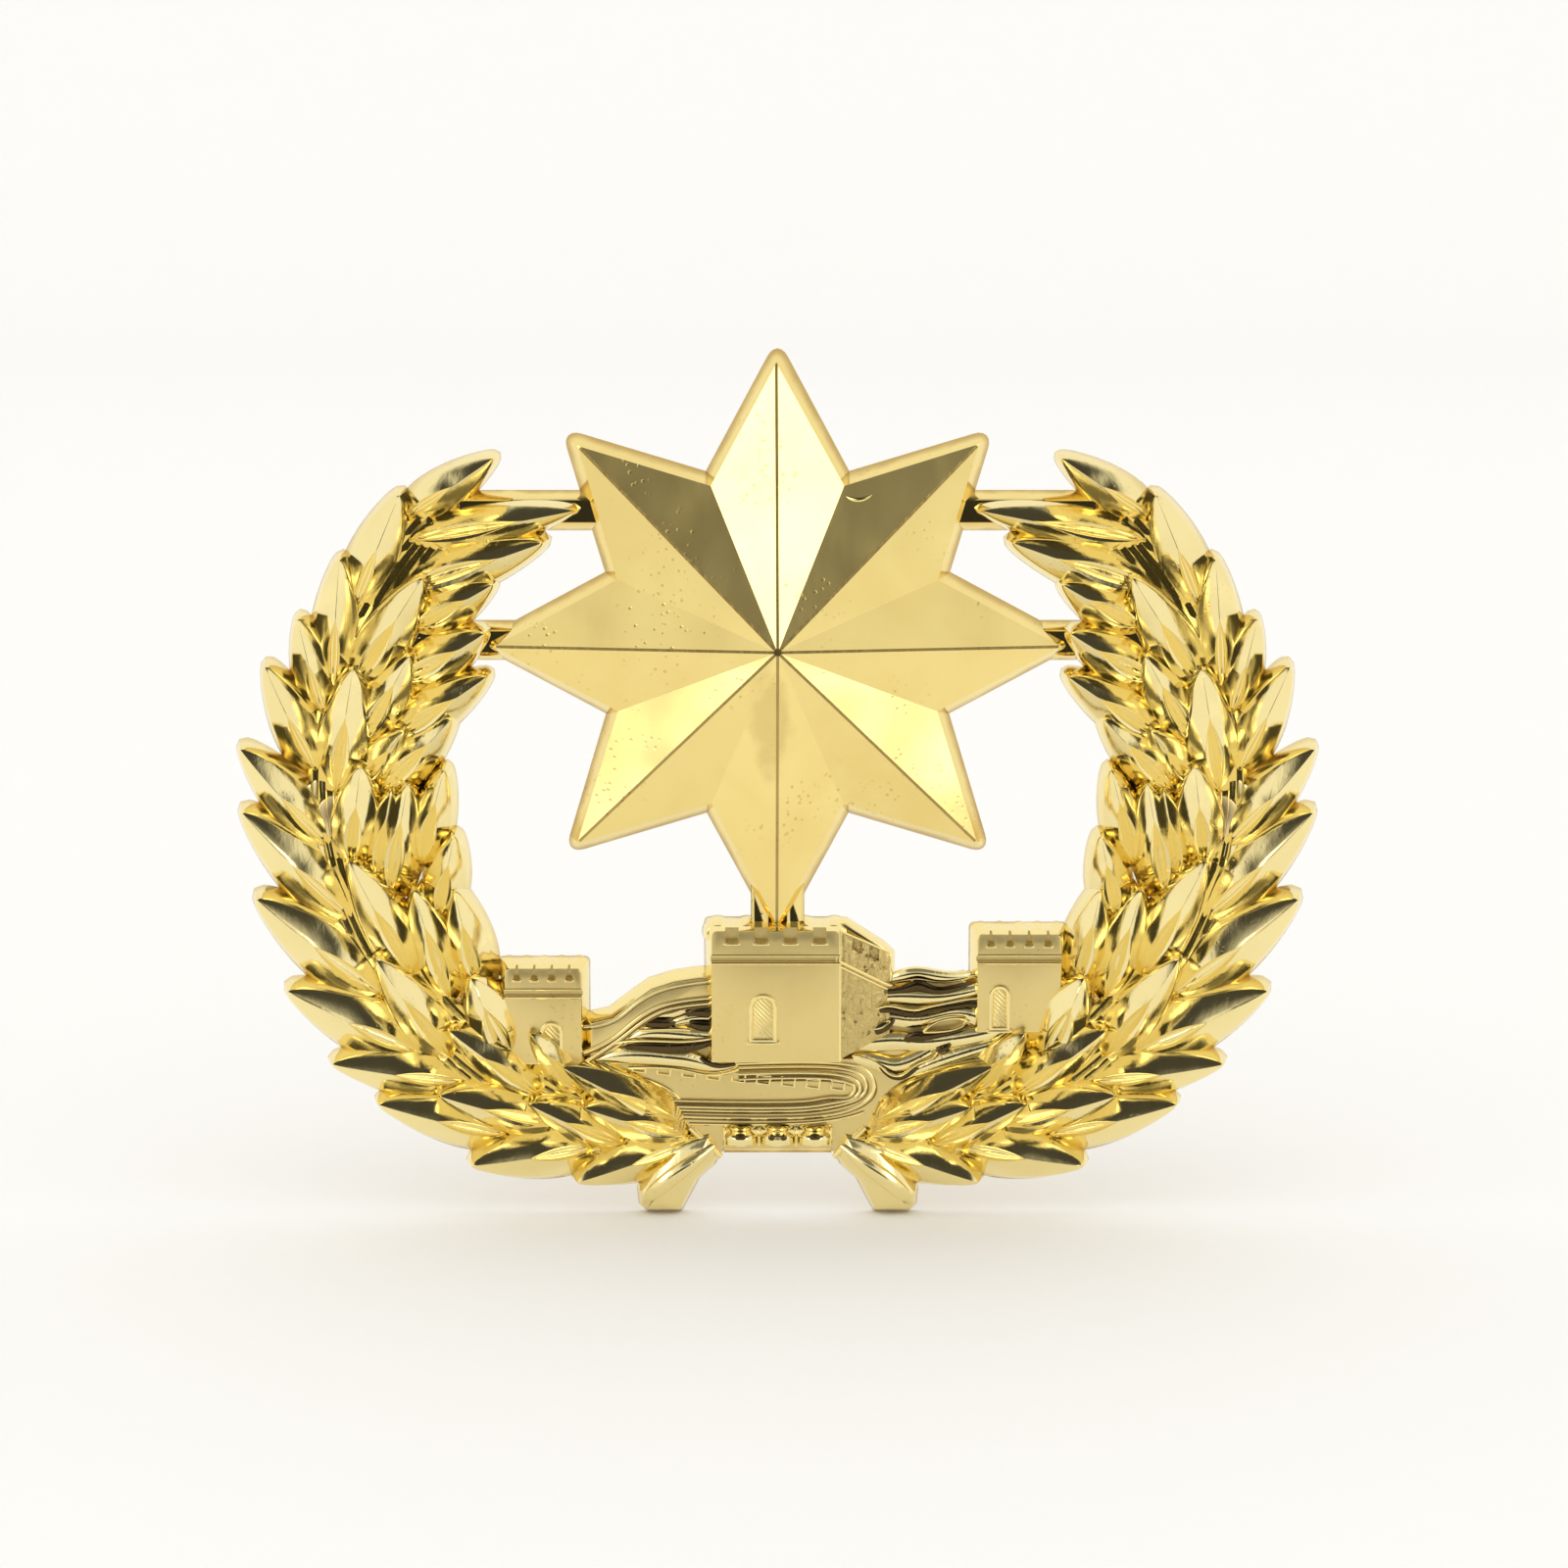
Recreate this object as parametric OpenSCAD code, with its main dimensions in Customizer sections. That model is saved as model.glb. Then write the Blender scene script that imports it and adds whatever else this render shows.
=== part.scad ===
// Cap badge: an eight-pointed star carried on cross bars inside a two-branch wreath,
// above a gate tower, two flank towers, rampart walls and rocks, with a screw stud,
// washer and thumb nut behind each branch.
// The badge stands upright: +X to the wearer's left as seen from the front, +Z up.
// Its flat back lies in the plane y = 0, the relief grows towards -Y and the studs
// towards +Y. The origin is midway between the two studs, on the back.

/* [Wreath] */
// Half width of the wreath, measured to the middle of the stem
wreath_half_width = 24.6; // [21:0.1:30]
// Half height of the wreath, measured to the middle of the stem
wreath_half_height = 21.7; // [19:0.1:27]
// Width of the stem behind the leaves
stem_width = 3.4; // [2.6:0.1:4]
// Thickness of the stem
stem_thickness = 1.6; // [1.3:0.1:2]
// Height of a leaf's shoulder at its tip
leaf_tip_edge = 1.7; // [1.2:0.1:2.2]
// Height of a leaf's shoulder at its base
leaf_base_edge = 0.9; // [0.5:0.1:1.4]
// Height of the crease above the shoulder
leaf_crease = 0.9; // [0.5:0.1:1.4]

/* [Star] */
// Radius of the star to its tips
star_tip_radius = 15.7; // [12:0.1:16.2]
// Radius of the star to its notches
star_notch_radius = 9.6; // [7:0.1:11]
// Height of the star's edge above the back
star_edge = 1.4; // [1:0.1:2]
// Height of the star's apex above the back
star_apex = 4.1; // [3:0.1:5.5]

/* [Bars] */
// Width of the cross bars at the back
bar_width = 2.3; // [1.6:0.1:3]
// Width of the flat front of the cross bars
bar_flat = 1.2; // [0.8:0.1:1.5]
// Thickness of the cross bars and of the star's stays
bar_thickness = 0.9; // [0.6:0.05:1.1]
// Width of each stay between the star and the gate tower
stay_width = 1.0; // [0.7:0.1:1.4]

/* [Towers] */
// Width of the gate tower's front
gate_width = 7.2; // [6:0.1:8.7]
// Thickness of the gate tower
gate_thickness = 2.2; // [1.8:0.1:2.8]
// Width of the left tower's front
left_tower_width = 4.3; // [3.6:0.1:5]
// Width of the right tower's front
right_tower_width = 4.7; // [4:0.1:5.4]
// Thickness of the flank towers
flank_thickness = 1.6; // [1.3:0.1:2]
// Width of a gap in the battlements
crenel_width = 0.8; // [0.5:0.05:1]
// Thickness of the ground plate and the front rampart
ground_thickness = 1; // [0.8:0.1:1.3]

/* [Fixing] */
// Radius of the stud's plain shank
shank_radius = 1.5; // [1.3:0.05:1.6]
// Length of the plain shank behind the back
shank_length = 2.2; // [1.5:0.1:3]
// Length of the thread beyond the shank
thread_length = 7.3; // [6:0.1:9]
// Pitch of the stud's thread
thread_pitch = 0.5; // [0.35:0.05:0.7]
// Outer radius of the thumb nut
nut_radius = 3.8; // [3.2:0.1:5]
// Thickness of the thumb nut
nut_thickness = 2.8; // [2:0.1:3.5]
// Outer radius of the washer
washer_radius = 4.5; // [3.8:0.1:5.5]
// Thickness of the washer
washer_thickness = 0.6; // [0.5:0.1:1]

/* [Hidden] */
gold = [0.87, 0.72, 0.33];
brass = [0.72, 0.6, 0.3];
steel = [0.75, 0.75, 0.73];
thin = 0.02;               // slice that a hull starts from
over = 1;                  // how far a cutter runs past the face it cuts
flare = 0.6;               // draft of the side walls, from the front edge to the back

// Wreath: an ellipse about its own centre; angles run from the foot up to the top leaf.
wreath_z = 1.9;
foot_z = wreath_z - wreath_half_height;     // level that the scenery's heights start from
spread = wreath_half_width / 24.6;          // everything inside widens with the wreath
rise = wreath_half_height / 21.7;           // and the star and its bars rise with it
leaf_scale = (spread + rise) / 2;           // the leaves grow with both
stem_foot_angle = -79;
stem_top_angle = 41;
stem_step = 4;

// Leaves: [angle of the base on the wreath, offset of the base outwards, turn outwards
// from the stem's own direction, length, width].
outer_leaves = [[39, 1.6, -13, 5.8, 2.2], [25, 1.0, 8, 6.9, 2.6], [14, 1.2, 7, 6.9, 2.4],
    [10, 1.2, 25, 5.4, 2.2], [5, 1.2, 40, 5.2, 2.3], [-6, 0.6, 40, 6.2, 2.6],
    [-19, 0.8, 22, 7.8, 3.0], [-29, 1.5, 20, 7.6, 2.8], [-43, 0.9, 21, 9.2, 2.9],
    [-47, 1.2, 34, 7.2, 2.3], [-55, 2.6, 17, 7.0, 2.2], [-67, 1.4, 23, 6.9, 2.3],
    [-78, -0.9, 29, 6.6, 2.3]];
middle_leaves = [[29, 0.4, -8, 6.4, 2.2], [17, 0.4, -21, 6.4, 2.4], [-2, 0.7, -17, 7.6, 2.2],
    [-11, 0.9, -33, 5.7, 1.8], [-28, -0.9, -4, 6.2, 2.2], [-43, 0.9, -11, 7.0, 2.4],
    [-55, -0.2, -10, 5.7, 2.0], [-60, 1.3, 5, 6.2, 2.0], [-68, 1.3, -19, 4.8, 1.8],
    [-78, -1.0, -7, 6.1, 2.0]];
inner_leaves = [[37, 0.8, -38, 8.6, 2.2], [31, 0.3, -41, 8.5, 2.4], [30, -1.9, -41, 4.2, 1.8],
    [20, -2.1, -49, 5.1, 1.8], [9, -1.2, -59, 7.6, 2.4], [11, -1.2, -29, 4.2, 1.6],
    [2, -1.1, -50, 3.7, 1.5], [-2, -2.2, -48, 5.9, 2.2], [-7, -4.6, -27, 4.0, 1.6],
    [-18, -1.6, -33, 6.4, 2.3], [-19, -3.8, -37, 4.5, 1.8], [-28, -2.4, -12, 5.0, 1.9],
    [-33, -4.1, -20, 3.9, 1.8], [-51, -1.6, -28, 5.8, 2.1], [-60, -1.0, -35, 4.7, 1.9],
    [-76, -1.7, -16, 7.1, 2.2]];

leaf_rim = 0.2;            // upright edge at the foot of a leaf's side wall
leaf_flare = 0.42;
lens_lean = 0.85;                // under 1 the widest place moves towards the base
lens_fullness = 0.75;
crease_places = [0.05, 0.25, 0.7, 0.97];    // where the crease starts, bends and ends
crease_start = 0.6;              // share of the crease's height reached at its first bend
middle_lift = 0.5;         // how far the middle row rides above the outer one
middle_floor_step = 0.05;  // the middle row starts this far above the ground plate
middle_floor = ground_thickness + middle_floor_step;
inner_lift = 0.12;

// Star and bars
star_points = 8;
star_step = 360 / star_points;
tip_blunting = 0.8 * flare;      // how far a point's foot is cut off square, to each side
tip_overhang = 0.3 * flare;
star_z = wreath_z + 7.75 * rise;
star_gap = 0.25;                 // the gate tower ends this far under the star's lowest point
upper_bar_z = star_z + 7.4 * rise;
middle_bar_z = star_z + 0.15 * rise;
stay_offset = 1.0;
stay_tuck = 1.6;                 // how far a stay ends below the star's notches
stay_top_z = star_z - star_notch_radius - stay_tuck;

// Towers: left edge, top and base of each front face
gate_top_z = star_z - star_tip_radius - star_gap;
gate_base_z = foot_z + 6;
gate_height = gate_top_z - gate_base_z;
gate_x = -0.1 - gate_width / 2;
gate_side_width = 2.8;
gate_side_drop = 1.4;            // the side wall's far edge is this much lower than the front's top
gate_side_rise = 1.5;            // and this much higher than its base
gate_side_thickness = 1.3;
gate_door_x = gate_x + 0.4 * gate_width;
gate_door_rise = 1;
gate_door_height = 2.6;
left_tower_x = -13.15 * spread - left_tower_width / 2;
left_tower_top_z = foot_z + 11.25;
left_tower_height = 5.5;
right_tower_x = 13.55 * spread - right_tower_width / 2;
right_tower_top_z = foot_z + 13.2;
right_tower_height = 5.6;
left_door_x = left_tower_x + 0.6 * left_tower_width;
left_door_rise = 0.4;
right_door_x = right_tower_x + 0.27 * right_tower_width;
right_door_rise = 0.8;
flank_door_height = 1.9;
crenel_count = 4;
battlement_ends = 0.4;           // what is left over at both ends, as a share of the crenels' pitch
crenel_cut = 0.6;                // how deep a crenel and its sill go in from the front
tower_flare = 0.45;
crenel_depth = 0.6;
groove_drop = 1.5;
groove_width = 0.25;
groove_depth = 0.2;
door_width = 1.2;
door_depth = 0.25;
rampart_thickness = 1.3;
rock_thickness = 1.5;
tie_half_width = 3.1 * spread;
tie_z = foot_z + 1.2;
tie_height = 1.9;
tie_radius = 0.95;
tie_lobe_place = 0.68;           // centre of the outer lobes, as a share of the half width
tie_lobe_sink = 0.2;

// Fixing
stud_angle = asin(-wreath_z / wreath_half_height);   // where the stem crosses z = 0
stud_x = wreath_half_width * cos(stud_angle);
spigot_step = 0.25;              // the spigot in the stem is this much slimmer than the shank
spigot_cover = 0.4;              // stem left in front of the spigot
spigot_radius = shank_radius - spigot_step;
spigot_length = stem_thickness - spigot_cover;
solder_gap = 0.03;
well_gap = 0.12;
well_radius = shank_radius + well_gap;
well_depth = 0.3;
anchor_wall = 0.8;
anchor_radius = well_radius + anchor_wall;
flank_share = 0.325;             // depth from the crest to the pitch line, in pitches
thread_radius = shank_radius - flank_share * thread_pitch;
thread_clearance = 0.05;
washer_clearance = 0.2;
cloth_room = 2.2;                // the washer rests this far behind the end of the plain shank
washer_rest_y = shank_length + cloth_room;
nut_gap = 0.05;
nut_ridges = 24;
ridge_height = 0.18;

function wreath_point(angle, offset = 0) = let(n = wreath_normal(angle))
    [wreath_half_width * cos(angle) + offset * n[0],
     wreath_z + wreath_half_height * sin(angle) + offset * n[1]];
function wreath_heading(angle) =
    atan2(wreath_half_height * cos(angle), -wreath_half_width * sin(angle));
function wreath_normal(angle) = let(h = wreath_heading(angle)) [sin(h), -cos(h)];
function stem_reach(z) = wreath_half_width * cos(asin((z - wreath_z) / wreath_half_height));
function on_foot(points) = [for (p = points) [p[0] * spread, foot_z + p[1]]];
function lens_half_width(t) = pow(sin(180 * pow(t, lens_lean)), lens_fullness) / 2;

// Stands a flat design up: its height above the back becomes the way out of the front.
module upright() rotate([90, 0, 0]) children();
module mirror_left(left) mirror([left ? 1 : 0, 0, 0]) children();

module lens(length, width, steps = 6) {
    upper = [for (i = [0:steps]) [length * i / steps, width * lens_half_width(i / steps)]];
    lower = [for (i = [steps - 1:-1:1]) [length * i / steps, -width * lens_half_width(i / steps)]];
    polygon(concat(upper, lower));
}

module leaf(length, width, lift, floor_z) {
    tilt = atan((leaf_tip_edge - leaf_base_edge) / length);
    crease_heights = [leaf_base_edge, leaf_base_edge + crease_start * leaf_crease,
        leaf_tip_edge + leaf_crease, leaf_tip_edge];
    hull() {
        translate([0, 0, floor_z]) linear_extrude(leaf_rim)
            offset(r = leaf_flare, $fn = 8) lens(length, width);
        translate([0, 0, lift + leaf_base_edge]) rotate([0, -tilt, 0]) linear_extrude(thin)
            lens(length, width);
        rotate([90, 0, 0]) linear_extrude(2 * thin, center = true)
            polygon([for (i = [0:3]) [crease_places[i] * length, lift + crease_heights[i]]]);
    }
}

module leaf_row(leaves, lift, floor_z) {
    for (one = leaves) {
        translate(wreath_point(one[0], one[1] * leaf_scale))
            rotate([0, 0, wreath_heading(one[0]) - one[2]])
                leaf(one[3] * leaf_scale, one[4] * leaf_scale, lift, floor_z);
    }
}

module stem_strip() {
    count = ceil((stem_top_angle - stem_foot_angle) / stem_step);
    angles = [for (i = [0:count]) stem_foot_angle + (stem_top_angle - stem_foot_angle) * i / count];
    outer = [for (a = angles) wreath_point(a, stem_width / 2)];
    inner = [for (i = [count:-1:0]) wreath_point(angles[i], -stem_width / 2)];
    polygon(concat(outer, inner));
}

module stem_foot() polygon(on_foot([[3.2, 0.4], [3.7, 1.9], [6.2, 1.2], [8.0, -1.6],
    [7.9, -2.6], [7.5, -3], [5.4, -3], [4.4, -1.1], [3.5, -0.3]]));

module stem_solid() {
    linear_extrude(stem_thickness) stem_strip();
    linear_extrude(stem_thickness) stem_foot();
    translate(wreath_point(stud_angle)) cylinder(r = anchor_radius, h = stem_thickness, $fn = 48);
}

module both_stems() {
    stem_solid();
    mirror([1, 0, 0]) stem_solid();
}

module stem(left) color(gold) upright() mirror_left(left) difference() {
    stem_solid();
    translate(wreath_point(stud_angle)) {
        translate([0, 0, -over]) cylinder(r = spigot_radius + solder_gap, h = spigot_length + over, $fn = 48);
        translate([0, 0, -over]) cylinder(r = well_radius, h = well_depth + over, $fn = 48);
    }
}

function around(a, radius, aside = 0) = [radius * cos(a) + aside * sin(a), radius * sin(a) - aside * cos(a)];

module star_body() {
    last = star_points - 1;
    directions = [for (k = [0:last]) 90 + star_step * k];
    foot = [for (a = directions) each [
        around(a, star_tip_radius + tip_overhang, tip_blunting),
        around(a, star_tip_radius + flare),
        around(a, star_tip_radius + tip_overhang, -tip_blunting),
        around(a + star_step / 2, star_notch_radius + flare)]];
    edge = [for (a = directions) each [
        around(a, star_tip_radius), around(a + star_step / 2, star_notch_radius)]];
    feet = len(foot);
    edges = len(edge);
    apex = feet + edges;
    base = apex + 1;
    points = concat([for (p = foot) [p[0], p[1], 0]], [for (p = edge) [p[0], p[1], star_edge]],
        [[0, 0, star_apex], [0, 0, 0]]);
    faces = concat(
        [for (i = [0:feet - 1]) [base, i, (i + 1) % feet]],
        [for (k = [0:last]) each
            let(f = 4 * k, e = feet + 2 * k, g = (f + 4) % feet, n = feet + (2 * k + 2) % edges)
            [[f, e, f + 1], [f + 1, e, f + 2], [f + 2, e, e + 1], [f + 2, e + 1, f + 3],
                [f + 3, e + 1, g], [g, e + 1, n]]],
        [for (i = [0:edges - 1]) [apex, feet + (i + 1) % edges, feet + i]]);
    translate([0, star_z, 0]) polyhedron(points = points, faces = faces);
}

module bar_profile(width, flat, thickness)
    polygon([[-width / 2, 0], [width / 2, 0], [flat / 2, thickness], [-flat / 2, thickness]]);

module cross_bar(reach, z) translate([-reach, z, 0]) rotate([90, 0, 90])
    linear_extrude(2 * reach) bar_profile(bar_width, bar_flat, bar_thickness);
module upper_bar_body() cross_bar(stem_reach(upper_bar_z), upper_bar_z);
module middle_bar_body() cross_bar(stem_reach(middle_bar_z), middle_bar_z);
module stay_body(side) translate([side * stay_offset - stay_width / 2, gate_top_z - crenel_depth, 0])
    cube([stay_width, stay_top_z - gate_top_z + crenel_depth, bar_thickness]);

module tower_block(x, width, top_z, height, thickness) hull() {
    translate([x - tower_flare, top_z - height, 0])
        cube([width + 2 * tower_flare, height + tower_flare, thin]);
    translate([x, top_z - height, thickness - thin]) cube([width, height, thin]);
}

module battlements(x, width, top_z, thickness) {
    pitch = width / (crenel_count + battlement_ends);
    for (i = [1:crenel_count])
        translate([x + pitch * (i + battlement_ends / 2 - 0.5) - crenel_width / 2,
            top_z - crenel_depth, thickness - crenel_cut])
            cube([crenel_width, crenel_depth + tower_flare + over, over]);
    translate([x - over, top_z - groove_drop - groove_width, thickness - groove_depth])
        cube([width + 2 * over, groove_width, over]);
}

module doorway(x, base_z, height, thickness) translate([x, base_z, thickness - door_depth]) {
    translate([-door_width / 2, 0, 0]) cube([door_width, height - door_width / 2, over]);
    translate([0, height - door_width / 2, 0]) cylinder(d = door_width, h = over, $fn = 32);
}

module gate_body() {
    tower_block(gate_x, gate_width, gate_top_z, gate_height, gate_thickness);
    hull() {
        translate([gate_x + gate_width - over, gate_base_z, 0])
            cube([over, gate_height, gate_thickness]);
        translate([gate_x + gate_width + gate_side_width - thin, gate_base_z + gate_side_rise, 0])
            cube([thin, gate_height - gate_side_drop - gate_side_rise, gate_side_thickness]);
    }
}

function left_rampart_outline() = on_foot([[-10.4, 8], [-9.5, 8.3], [-8.4, 9], [-7.3, 9.8],
    [-6.2, 10.3], [-4.7, 10.6], [-3.2, 10.7], [-3.2, 9.1], [-5.7, 9], [-8.4, 7.8], [-10.4, 6.1]]);
function left_rocks_outline() = on_foot([[-10.4, 5.6], [-10.4, 6.1], [-8.4, 7.8], [-5.7, 9],
    [-3.2, 9.1], [-3.2, 6.2], [-2.1, 5.9], [-2.3, 5.4], [-3.5, 4.9], [-5, 5.3],
    [-7, 5.6], [-9, 5.5]]);
function right_rocks_outline() = on_foot([[4.0, 6.9], [5.3, 8.6], [6.3, 9.9], [7.2, 10.5], [7.9, 11],
    [9.2, 10.6], [10.5, 10.9], [11.4, 9.6], [14.6, 8.4], [13.8, 7.6], [12.2, 6.1], [9.1, 5.5],
    [6.7, 4.8], [5.5, 5.6], [4.2, 6]]);

module gate_outline() {
    front_end = gate_x + gate_width;
    side_end = front_end + gate_side_width;
    translate([gate_x - tower_flare, gate_base_z])
        square([gate_width + 2 * tower_flare, gate_height + tower_flare]);
    polygon([[front_end, gate_base_z], [side_end, gate_base_z + gate_side_rise],
        [side_end, gate_top_z - gate_side_drop], [front_end, gate_top_z]]);
}
module flank_outlines() {
    for (t = [[left_tower_x, left_tower_width, left_tower_top_z, left_tower_height],
        [right_tower_x, right_tower_width, right_tower_top_z, right_tower_height]])
        translate([t[0] - tower_flare, t[2] - t[3]]) square([t[1] + 2 * tower_flare, t[3] + tower_flare]);
}
module rocks_block(outline) linear_extrude(rock_thickness) difference() {
    polygon(outline);
    gate_outline();
    flank_outlines();
}
module ground_body() linear_extrude(ground_thickness) difference() {
    polygon(on_foot([[-10.3, 6], [11.6, 6.2], [7.0, 3.2], [5.4, 2.2], [4.2, 0.3], [-3.2, 0.3],
        [-4.6, 1.4], [-7.5, 3.2]]));
    gate_outline();
    flank_outlines();
    polygon(left_rocks_outline());
    polygon(right_rocks_outline());
    translate([-tie_half_width, tie_z - tie_height / 2 - over])
        square([2 * tie_half_width, tie_height + over]);
}
module tie_body() {
    translate([-tie_half_width, tie_z - tie_height / 2, 0])
        cube([2 * tie_half_width, tie_height, ground_thickness]);
    for (side = [-1, 0, 1])
        translate([side * tie_lobe_place * tie_half_width, tie_z + tie_height / 2,
            ground_thickness - tie_lobe_sink])
            rotate([90, 0, 0]) cylinder(r = tie_radius, h = tie_height, $fn = 32);
}

module outer_row(left) color(gold) upright() mirror_left(left) difference() {
    leaf_row(outer_leaves, 0, 0);
    leaf_seats_for(left);
    leaf_row(middle_leaves, middle_lift, middle_floor);
}
module inner_row(left) color(gold) upright() mirror_left(left) difference() {
    leaf_row(inner_leaves, inner_lift, 0);
    leaf_seats_for(left);
    leaf_row(middle_leaves, middle_lift, middle_floor);
    leaf_row(outer_leaves, 0, 0);
}
module middle_row(left) color(gold) upright() mirror_left(left) difference() {
    leaf_row(middle_leaves, middle_lift, middle_floor);
    leaf_seats_for(left);
}
module leaf_seats_for(left) {
    mirror([left ? 1 : 0, 0, 0]) {
        upper_bar_body();
        middle_bar_body();
        flank_and_ground();
    }
    stem_solid();
}
module flank_and_ground() {
    linear_extrude(flank_thickness) {
        flank_outlines();
        polygon(left_rocks_outline());
        polygon(right_rocks_outline());
    }
    ground_body();
    tie_body();
}

module star() color(gold) upright() difference() {
    star_body();
    upper_bar_body();
    middle_bar_body();
    stay_body(-1);
    stay_body(1);
}
module upper_cross_bar() color(gold) upright() difference() {
    upper_bar_body();
    both_stems();
}
module middle_cross_bar() color(gold) upright() difference() {
    middle_bar_body();
    both_stems();
}
module left_star_stay() color(gold) upright() stay_body(-1);
module right_star_stay() color(gold) upright() stay_body(1);
module left_stem() stem(true);
module right_stem() stem(false);
module left_outer_leaves() outer_row(true);
module right_outer_leaves() outer_row(false);
module left_middle_leaves() middle_row(true);
module right_middle_leaves() middle_row(false);
module left_inner_leaves() inner_row(true);
module right_inner_leaves() inner_row(false);

module gate_tower() color(gold) upright() difference() {
    gate_body();
    battlements(gate_x, gate_width, gate_top_z, gate_thickness);
    doorway(gate_door_x, gate_base_z + gate_door_rise, gate_door_height, gate_thickness);
    star_body();
    stay_body(-1);
    stay_body(1);
}
module flank_tower(x, width, top_z, height, door_x, door_rise) color(gold) upright() difference() {
    tower_block(x, width, top_z, height, flank_thickness);
    battlements(x, width, top_z, flank_thickness);
    doorway(door_x, top_z - height + door_rise, flank_door_height, flank_thickness);
    both_stems();
}
module left_tower() flank_tower(left_tower_x, left_tower_width, left_tower_top_z, left_tower_height,
    left_door_x, left_door_rise);
module right_tower() flank_tower(right_tower_x, right_tower_width, right_tower_top_z, right_tower_height,
    right_door_x, right_door_rise);
module left_rampart() color(gold) upright() linear_extrude(rampart_thickness) difference() {
    polygon(left_rampart_outline());
    gate_outline();
    flank_outlines();
}
module left_rocks() color(gold) upright() rocks_block(left_rocks_outline());
module right_rocks() color(gold) upright() rocks_block(right_rocks_outline());
module front_rampart() color(gold) upright() difference() {
    ground_body();
    both_stems();
}
module tie_band() color(gold) upright() difference() {
    tie_body();
    both_stems();
}

// Behind the badge, y grows away from the back.
module on_stud(left, y) translate([left ? -stud_x : stud_x, y, 0]) rotate([-90, 0, 0]) children();
module stud(left) color(brass) on_stud(left, 0) {
    translate([0, 0, -spigot_length]) cylinder(r = spigot_radius, h = spigot_length, $fn = 48);
    cylinder(r = shank_radius, h = shank_length, $fn = 48);
    translate([0, 0, shank_length]) cylinder(r = thread_radius, h = thread_length, $fn = 48);
}
module washer(left) color(steel) on_stud(left, washer_rest_y) difference() {
    cylinder(r = washer_radius, h = washer_thickness, $fn = 64);
    translate([0, 0, -over])
        cylinder(r = shank_radius + washer_clearance, h = washer_thickness + 2 * over, $fn = 48);
}
module thumb_nut(left) color(brass) on_stud(left, washer_rest_y + washer_thickness + nut_gap) difference() {
    linear_extrude(nut_thickness) polygon([for (i = [0:2 * nut_ridges - 1])
        let(a = 180 * i / nut_ridges, r = nut_radius - (i % 2) * ridge_height) [r * cos(a), r * sin(a)]]);
    translate([0, 0, -over])
        cylinder(r = thread_radius + thread_clearance, h = nut_thickness + 2 * over, $fn = 48);
}
module left_stud() stud(true);
module right_stud() stud(false);
module left_washer() washer(true);
module right_washer() washer(false);
module left_thumb_nut() thumb_nut(true);
module right_thumb_nut() thumb_nut(false);

star();
upper_cross_bar();
middle_cross_bar();
left_star_stay();
right_star_stay();
left_stem();
right_stem();
left_outer_leaves();
right_outer_leaves();
left_middle_leaves();
right_middle_leaves();
left_inner_leaves();
right_inner_leaves();
gate_tower();
left_tower();
right_tower();
left_rampart();
front_rampart();
left_rocks();
right_rocks();
tie_band();
left_stud();
right_stud();
left_washer();
right_washer();
left_thumb_nut();
right_thumb_nut();
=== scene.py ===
"""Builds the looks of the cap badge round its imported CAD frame.

Every piece of the badge is made again here with its full relief: the faceted star, the
cross bars, the leaves with their creases and veins, the towers, the ramparts and rocks,
and the screw studs, washers and thumb nuts behind. Pieces are worked lying face up, in
millimetres, and are then stood up in their places in the frame, in metres.
"""

import itertools
import logging
import math
from contextlib import contextmanager
from dataclasses import dataclass, field
from enum import Enum
from typing import Callable, Iterator, Sequence

import bmesh
import bpy
from mathutils import Matrix, Vector

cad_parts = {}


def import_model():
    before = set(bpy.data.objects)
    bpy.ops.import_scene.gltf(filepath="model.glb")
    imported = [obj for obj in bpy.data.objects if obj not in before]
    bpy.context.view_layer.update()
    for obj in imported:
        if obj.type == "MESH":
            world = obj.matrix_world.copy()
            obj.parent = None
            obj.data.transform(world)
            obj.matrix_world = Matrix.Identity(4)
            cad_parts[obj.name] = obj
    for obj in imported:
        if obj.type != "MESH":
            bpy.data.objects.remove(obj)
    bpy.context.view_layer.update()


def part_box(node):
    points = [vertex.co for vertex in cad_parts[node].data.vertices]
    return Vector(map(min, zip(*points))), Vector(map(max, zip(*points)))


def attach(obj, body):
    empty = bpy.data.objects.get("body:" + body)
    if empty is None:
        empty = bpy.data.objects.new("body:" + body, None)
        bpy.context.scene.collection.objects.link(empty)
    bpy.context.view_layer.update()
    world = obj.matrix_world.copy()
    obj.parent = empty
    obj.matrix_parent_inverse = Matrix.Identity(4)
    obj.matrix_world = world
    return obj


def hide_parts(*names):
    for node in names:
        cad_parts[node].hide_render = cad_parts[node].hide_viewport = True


log = logging.getLogger("cap_badge")

MM = 0.001
STAND_UP = Matrix.Scale(MM, 4) @ Matrix.Rotation(math.radians(90), 4, "X")
SMOOTH_ANGLE = 32.0
DOUBLES = 0.0008
STUD_ANGLE = -5.023

Point = tuple[float, float]
Corner = tuple[float, float, float]
Bend = tuple[float, float, float, float]
Colour = tuple[float, float, float]
Piece = bpy.types.Object
Box = tuple[Vector, Vector]
FaceTest = Callable[[Vector, Vector], bool]


class Body(Enum):
    """The frame's bodies that pieces ride on."""

    BADGE = "badge"
    LEFT_CLAMP = "left_clamp"
    RIGHT_CLAMP = "right_clamp"
    LEFT_NUT = "left_nut"
    RIGHT_NUT = "right_nut"


class Side(Enum):
    """The two halves of the badge, as seen from the front."""

    LEFT = -1
    RIGHT = 1

    @property
    def word(self) -> str:
        """The side's name as the frame's nodes spell it."""
        return self.name.lower()


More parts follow.
